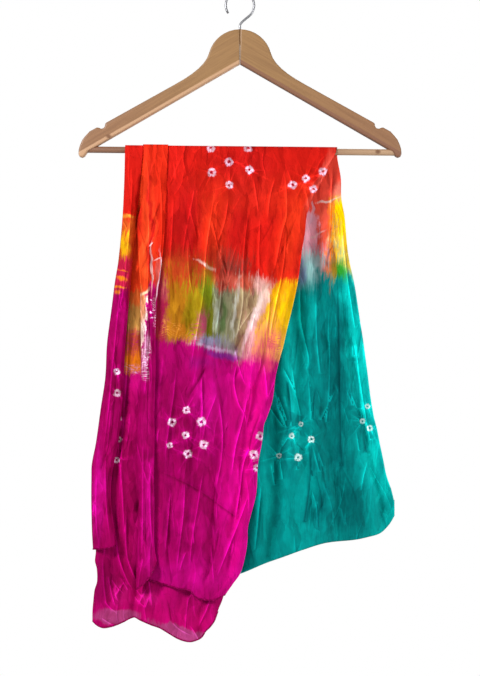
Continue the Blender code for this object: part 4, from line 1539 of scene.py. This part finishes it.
UNDER_DYE = Dye(
    scratches=(
        (-150, 262, 14, 20, screen(176, 20, 104)),
        (-150, 300, 12, 8, screen(214, 150, 200)),
    ),
    bands=(
        # The red is lighter than the cloth's own, a painted light that opens the shadow in the gap
        # between the pleats.
        (-30, -30, *FLAT, 1, RED_BRIGHT),
        (192, 192, *FLAT, 4, screen(214, 96, 40)),
        (212, 212, *FLAT, 6, screen(190, 136, 66)),
        (250, 250, *FLAT, 8, screen(186, 74, 44)),
        (282, 282, *FLAT, 5, screen(216, 112, 18)),
        (306, 306, *FLAT, 4, screen(196, 8, 112)),
        (330, 330, *FLAT, 8, screen(182, 3, 98)),
    ),
    patches=(
        # Painted shade on the magenta where the pleats hang in front of this layer.
        (-160, 450, 30, 100, 0, 0.8, 0.5, 0.6, MAGENTA_SHADED),
        (-158, 590, 44, 22, 0, 0.9, 0.5, 0.3, MAGENTA_SHADED),
        (-70, 640, 40, 26, 0, 0.9, 0.7, 0.3, screen(204, 6, 112)),
        (-172, 647, 30, 12, 4, 0.16, 0.85, 0.2, LENS_PINK),
        (-86, 666, 44, 10, 14, 0.16, 0.85, 0.2, LENS_PINK),
        (-128, 622, 14, 8, 0, 0.7, 0.6, 0.8, screen(206, 24, 122)),
        (-60, 626, 60, 18, 0, 0.9, 0.5, 0.4, screen(150, 2, 84)),
        (-196, 600, 20, 44, 0, 0.9, 0.7, 0.4, screen(144, 2, 80)),
        (-166, 610, 9, 14, 0, 0.8, 0.6, 0.8, screen(204, 20, 122)),
    ),
)
LEFT_PLEAT_DYE = Dye(
    bands=(
        (-30, -30, *FLAT, 1, RED),
        (92, 92, *FLAT, 5, screen(204, 80, 26)),
        (150, 150, *FLAT, 6, screen(196, 30, 66)),
        (192, 192, *FLAT, 5, screen(164, 2, 88)),
    ),
    patches=(
        (-158, 91, 9, 2.4, 0, 0.7, 0.7, 0.8, screen(236, 156, 50)),
        (-160, 128, 3.5, 16, 0, 0.6, 0.95, 0.6, screen(238, 180, 14)),
        (-153, 126, 3, 15, 6, 0.6, 0.85, 0.6, screen(232, 164, 18)),
        (-163, 166, 7, 1.3, 0, 0.6, 0.8, 0.8, screen(240, 120, 14)),
        (-165, 178, 7, 2.0, 0, 0.6, 0.95, 0.8, screen(244, 128, 8)),
        (-168, 188, 8, 1.6, 0, 0.6, 0.9, 0.8, screen(240, 140, 14)),
        (-172, 196, 4, 3, 0, 0.6, 0.9, 0.6, screen(240, 130, 20)),
        (-149, 166, 4, 36, 0, 0.7, 0.8, 0.6, screen(176, 44, 30)),
        # Painted light down the pleat's left side and painted shade on its right side.
        (-196, 470, 7, 60, 0, 0.8, 0.7, 0.6, MAGENTA_LIT),
        (-184, 420, 5, 70, 0, 0.9, 0.25, 0.6, MAGENTA_SHADED),
    ),
)
CENTRE_PLEAT_DYE = Dye(
    scratches=(
        (-117, 226, 4, 28, screen(246, 214, 230)),
        (-130, 290, 6, 26, screen(250, 226, 236)),
    ),
    bands=(
        (-30, -30, *FLAT, 1, screen(224, 42, 20)),
        (198, 184, -130, -126, 4, ZONE),
        (276, 190, -130, -126, 8, screen(164, 2, 90)),
    ),
    zone=(
        (-300, 1, screen(240, 216, 192)),
        (-130, 1, screen(190, 4, 112)),
    ),
    patches=(
        (-136, 160, 8, 36, 0, 0.7, 0.7, 0.4, screen(246, 92, 36)),
        (-132, 100, 5, 70, 2, 0.8, 0.7, 0.4, screen(246, 76, 32)),
        (-118, 110, 3, 60, -2, 0.8, 0.5, 0.4, screen(240, 70, 32)),
        (-124, 110, 2.5, 80, 0, 0.8, 0.6, 0.4, RED_DEEP),
        (-141, 60, 2.5, 60, 0, 0.8, 0.5, 0.4, RED_DEEP),
        (-138, 216, 4, 22, 0, 0.6, 0.8, 0.8, screen(226, 130, 60)),
        (-134, 196, 8, 1.6, -38, 0.6, 0.8, 0.5, screen(244, 214, 170)),
        (-122, 160, 1.5, 26, 2, 0.5, 0.85, 0.8, screen(236, 190, 180)),
        (-121, 127, 3.5, 1.1, -30, 0.5, 0.85, 0.4, screen(250, 226, 220)),
        (-114, 150, 4.5, 1.3, -8, 0.5, 0.75, 0.4, screen(246, 206, 200)),
        (-114, 168, 4, 12, 0, 0.8, 0.65, 1.0, screen(222, 116, 104)),
        (-112, 178, 1.2, 34, 3, 0.5, 0.9, 0.4, screen(248, 220, 224)),
        (-123, 206, 3, 1.0, 24, 0.5, 0.7, 0.4, screen(240, 190, 220)),
        (-123, 222, 3, 1.0, 20, 0.5, 0.7, 0.4, screen(240, 190, 220)),
        (-123, 232, 3, 1.0, 12, 0.5, 0.7, 0.4, screen(240, 190, 220)),
        (-132, 276, 5, 20, 0, 0.9, 0.6, 1.6, screen(240, 176, 206)),
        # Painted light down the pleat's magenta.
        (-126, 520, 7, 70, 0, 0.8, 0.4, 0.6, MAGENTA_LIT),
    ),
)
BACK_DYE = Dye(
    bands=(
        # The coral is lighter than the cloth's own, a painted light that lifts the front fall's shadow
        # on it.
        (-30, -30, *FLAT, 1, screen(255, 80, 62)),
        (82, 60, 104, 134, 4, ZONE),
        (150, 170, 96, 124, 9, TEAL),
    ),
    zone=(
        (-300, 1, screen(206, 150, 26)),
        (-92, 10, screen(150, 150, 30)),
        (-56, 8, screen(150, 152, 124)),
        (-20, 10, screen(206, 166, 140)),
        (16, 8, screen(246, 190, 20)),
        (52, 12, screen(250, 176, 192)),
        (106, 4, screen(250, 92, 70)),
        (123, 3, screen(250, 132, 22)),
        (132, 3, screen(252, 212, 0)),
    ),
    patches=(
        (134, 56, 6, 12, 0, 0.8, 0.7, 0.6, screen(250, 150, 126)),
        (122, 70, 14, 1.6, -27, 0.6, 0.9, 0.5, screen(250, 214, 204)),
        (108, 114, 12, 1.4, -36, 0.6, 0.6, 0.5, screen(244, 206, 200)),
        (98, 84, 1.8, 20, 3, 0.6, 0.7, 0.5, screen(240, 200, 214)),
        (103, 142, 15, 10, 0, 0.9, 0.75, 1.0, screen(224, 172, 188)),
        # These two pale patches are partly the dye's paler teal and partly painted light that lifts
        # the shadow of the front fall's edge.
        (106, 156, 16, 9, 0, 0.9, 0.85, 1.2, screen(160, 208, 208)),
        (90, 166, 16, 20, 0, 0.9, 0.75, 0.8, screen(180, 216, 216)),
        (126, 160, 2.6, 26, 0, 0.7, 0.8, 0.8, screen(206, 140, 30)),
        (131, 112, 4, 36, -4, 0.7, 0.8, 0.6, screen(252, 190, 6)),
        (124, 104, 3, 14, 0, 0.8, 0.7, 0.8, screen(250, 96, 20)),
        (85, 172, 5, 12, 0, 0.8, 0.8, 1.0, screen(150, 124, 206)),
        # Painted shade in the teal's valley, lower down and behind the front fall, and painted light
        # on its right edge and where the front fall's edge casts its shadow.
        (134, 285, 12, 120, -2, 0.95, 0.6, 0.5, TEAL_SHADED),
        (174, 325, 13, 150, -11, 0.7, 1.0, 0.5, TEAL_LIT),
        (122, 400, 18, 150, 0, 0.9, 0.5, 0.4, TEAL_SHADED),
        (60, 360, 16, 110, 8, 0.95, 0.85, 0.3, TEAL_LIT),
        (84, 222, 14, 40, 8, 0.9, 0.8, 0.3, TEAL_LIT),
        (186, 480, 14, 50, -10, 0.9, 0.6, 0.4, TEAL_LIT),
        (60, 440, 16, 60, -6, 0.9, 0.3, 0.6, TEAL_SHADED),
        (154, 482, 17, 52, -6, 0.9, 0.5, 0.4, TEAL_SHADED),
        (150, 500, 60, 24, -6, 0.9, 0.4, 0.6, TEAL_SHADED),
        (-80, 300, 60, 180, 0, 0.9, 0.3, 0.6, TEAL_SHADED),
        (140, 168, 11, 14, 0, 0.6, 0.95, 0.6, screen(40, 160, 34)),
        (130, 168, 4, 16, 0, 0.7, 0.8, 0.6, screen(176, 130, 30)),
    ),
    ring=screen(196, 226, 222),
    core=screen(30, 110, 112),
    # The tint of the painted highlights on the teal.
    highlight_and_pale_gain=(1.5, 1.45, 1.45, 1),
)
front_silk = dyed("front_silk", FRONT_DYE, 1)
under_silk = dyed("under_silk", UNDER_DYE, 2)
left_pleat_silk = dyed("left_pleat_silk", LEFT_PLEAT_DYE, 3)
centre_pleat_silk = dyed("centre_pleat_silk", CENTRE_PLEAT_DYE, 4)
back_silk = dyed("back_silk", BACK_DYE, 5)

# %% Hang the cloth
front_cloth, front_points = cloth_piece(
    "front_cloth", front, ["front_fall"], front_silk
)
under_cloth, under_points = cloth_piece(
    "under_cloth", under, ["under_fall"], under_silk
)
left_cloth, left_points = cloth_piece(
    "left_pleat_cloth", left_pleat, ["left_pleat"], left_pleat_silk
)
centre_cloth, centre_points = cloth_piece(
    "centre_pleat_cloth", centre_pleat, ["centre_pleat"], centre_pleat_silk
)
back_cloth, _ = cloth_piece("back_cloth", back, ["back_fall"], back_silk)
under_back_cloth, _ = cloth_piece(
    "under_back_cloth", under_back, ["under_back"], back_silk
)
left_back_cloth, _ = cloth_piece(
    "left_pleat_back_cloth", left_back, ["left_pleat_back"], back_silk
)
centre_back_cloth, _ = cloth_piece(
    "centre_pleat_back_cloth", centre_back, ["centre_pleat_back"], back_silk
)

# %% [markdown]
# ## Rolled hems
#
# The ends are finished by hand: the edge is rolled between the fingers and caught with small
# stitches. It reads as a thin dark cord along the edge, a little uneven where the stitches pull. A
# tube along the sheet's last row makes it, because a bump would leave the cloth's outline sharp.

# %% Hems
HEM_RADIUS = 0.95 * MM
HEM_SIDES = 10
HEM_KNOTS = 60
hem_finish = Finish("rolled_hem_silk")
hem_place = hem_finish.object_place()
hem_noise = hem_finish.noise(hem_place, detail=3, size=3 * MM)
hem_silk = hem_finish.shade(
    {
        "Base Color": hem_finish.mix(screen(122, 0, 62), screen(164, 8, 96), hem_noise.ramp(0.4, 0.7)),
        "Roughness": 0.6,
        "Specular IOR Level": SILK_SPECULAR,
        "Normal": hem_finish.bump(hem_noise, 0.4 * MM, 0.6),
    }
)


def rolled_hem(name, points, replaced, seed):
    """A tube along the last row of a sheet, its size uneven by up to a sixth."""
    draw = np.random.default_rng(seed)
    edge = points[-1]
    knots = draw.uniform(0.86, 1.16, HEM_KNOTS)
    uneven = np.interp(np.linspace(0, HEM_KNOTS - 1, len(edge)), np.arange(HEM_KNOTS), knots)
    mesh = grid_mesh(name, tube_points(edge, HEM_RADIUS, HEM_SIDES, uneven), round_across=True)
    close_poles(mesh)
    mesh.shade_smooth()
    print(name, "follows", len(edge), "points")
    return add_piece(name, mesh, replaced, hem_silk)


front_hem = rolled_hem("front_hem_roll", front_points, ["front_hem"], 21)
under_hem = rolled_hem("under_hem_roll", under_points, ["under_hem"], 22)
left_hem = rolled_hem("left_hem_roll", left_points, ["left_hem"], 23)
centre_hem = rolled_hem("centre_hem_roll", centre_points, ["centre_hem"], 24)

# %% [markdown]
# ## The hanger
#
# The hanger is two flat arms glued at a seam under the crown, a round bar between their ends and a
# steel hook screwed in from the top. Its solids already have the right shape, so each is copied,
# the doubled points along its edges are merged, and the copy gets the finish.

# %% Wood
# The lower edge of the arms is a line that falls from its apex, this high over the bar, by this
# slope to both sides. The edge is rounded over this width.
UNDER_APEX = 118.6 * MM
UNDER_SLOPE = 0.576
ROUNDED_EDGE = 5.5 * MM


def wood(name, lean, knot, pale, dark, edge=None):
    """Beech with its grain along a direction that leans by `lean` degrees from level.

    The wood is `pale` near the middle of the hanger and `dark` towards the side of the knot; on the
    bar these two are a painted shade on the left and a painted light towards the right end. An arm's
    rounded lower edge takes `edge`, a painted light on the left arm and a painted shade on the right
    one. It ends at a height over the line apex - slope * |x|, measured square to that line.
    """
    finish = Finish(name)
    place = finish.object_place()
    along = finish.laid(place, turn=(0, math.radians(lean), 0))
    grain = finish.noise(finish.laid(along, size=(60 * MM, 2.2 * MM, 2.2 * MM)), 4, 0.6)
    pores = finish.noise(finish.laid(along, size=(9 * MM, 0.7 * MM, 0.7 * MM)))
    spot = finish.vectors("LENGTH", finish.laid(place, knot, size=(5 * MM, 20 * MM, 4 * MM)), None)
    side = finish.axis(place, "X") * math.copysign(1, knot[0])
    colour = finish.mix(pale, dark, side.ramp(20 * MM, 200 * MM))
    colour = finish.mix(colour, (0.62, 0.56, 0.5, 1), grain.ramp(0.35, 0.7) * 0.5, "MULTIPLY")
    colour = finish.mix(colour, screen(140, 96, 60), pores.ramp(0.6, 0.8) * 0.4)
    # Painted light and shade on the rounded lower edge.
    if edge:
        fall = finish.axis(place, "X").math("ABSOLUTE") * UNDER_SLOPE
        rise = (finish.axis(place, "Z") + fall - BAR_Z - UNDER_APEX) / math.hypot(1, UNDER_SLOPE)
        band = (rise + (grain - 0.5) * 1.5 * MM).ramp(ROUNDED_EDGE, ROUNDED_EDGE - 1.4 * MM)
        colour = finish.mix(colour, edge, band * 0.85)
    colour = finish.mix(colour, screen(110, 66, 36), (spot + grain * 0.4).ramp(1.3, 0.5) * 0.85)
    return finish.shade(
        {
            "Base Color": colour,
            "Roughness": grain * 0.15 + 0.42,
            "Coat Weight": 0.15,
            "Coat Roughness": 0.3,
            "Normal": finish.bump(pores, 0.15 * MM, 0.3),
        }
    )


# %% The hanger's pieces
def finished_copy(node, material, angle):
    """A copy of a solid with its doubled points merged and its soft edges shaded smooth.

    Edges sharper than `angle` degrees stay sharp. The normals are weighed by the faces' size, so
    that large flat faces shade flat and the rounded edges beside them take all of the bend.
    """
    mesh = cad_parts[node].data.copy()
    mesh.materials.clear()
    work = bmesh.new()
    work.from_mesh(mesh)
    bmesh.ops.remove_doubles(work, verts=work.verts, dist=0.01 * MM)
    work.to_mesh(mesh)
    work.free()
    mesh.shade_smooth()
    mesh.set_sharp_from_angle(angle=math.radians(angle))
    piece = add_piece(f"{node}_finished", mesh, [node], material)
    weighed = piece.modifiers.new("weighed_normals", "WEIGHTED_NORMAL")
    weighed.keep_sharp = True
    print(piece.name, len(mesh.vertices), "points")


steel_finish = Finish("bright_steel")
steel_place = steel_finish.object_place()
scuffs = steel_finish.noise(steel_finish.laid(steel_place, size=(1 * MM, 1 * MM, 6 * MM)), detail=3)
steel = steel_finish.shade(
    {
        "Base Color": screen(150, 150, 154),
        "Metallic": 1.0,
        "Roughness": scuffs * 0.2 + 0.3,
    }
)
WOOD_PALE, WOOD_DARK = screen(161, 121, 76), screen(154, 110, 75)
ARM_LEAN = 30
left_knot = (-181 * MM, 0, BAR_Z + 18 * MM)
# No knot shows on the right arm. Its place is off the wood and only says where the wood darkens.
right_knot = (150 * MM, 60 * MM, BAR_Z + 50 * MM)
bar_knot = (190 * MM, 0, BAR_Z - 3 * MM)
# The last colour is painted on the arm's rounded lower edge: painted light on the left arm, painted
# shade on the right.
wood_left = wood("wood_left", -ARM_LEAN, left_knot, WOOD_PALE, WOOD_DARK, screen(206, 163, 126))
wood_right = wood("wood_right", ARM_LEAN, right_knot, WOOD_PALE, WOOD_DARK, screen(134, 90, 68))
# On the bar the first tone, darker, is painted shade over the left and the middle, and the second,
# lighter, is painted light towards the right end.
wood_bar = wood("wood_bar", 0, bar_knot, screen(140, 100, 76), screen(196, 160, 126))
finished_copy("hanger_arm_left", wood_left, 35)
finished_copy("hanger_arm_right", wood_right, 35)
finished_copy("trouser_bar", wood_bar, 50)
finished_copy("hook", steel, 60)
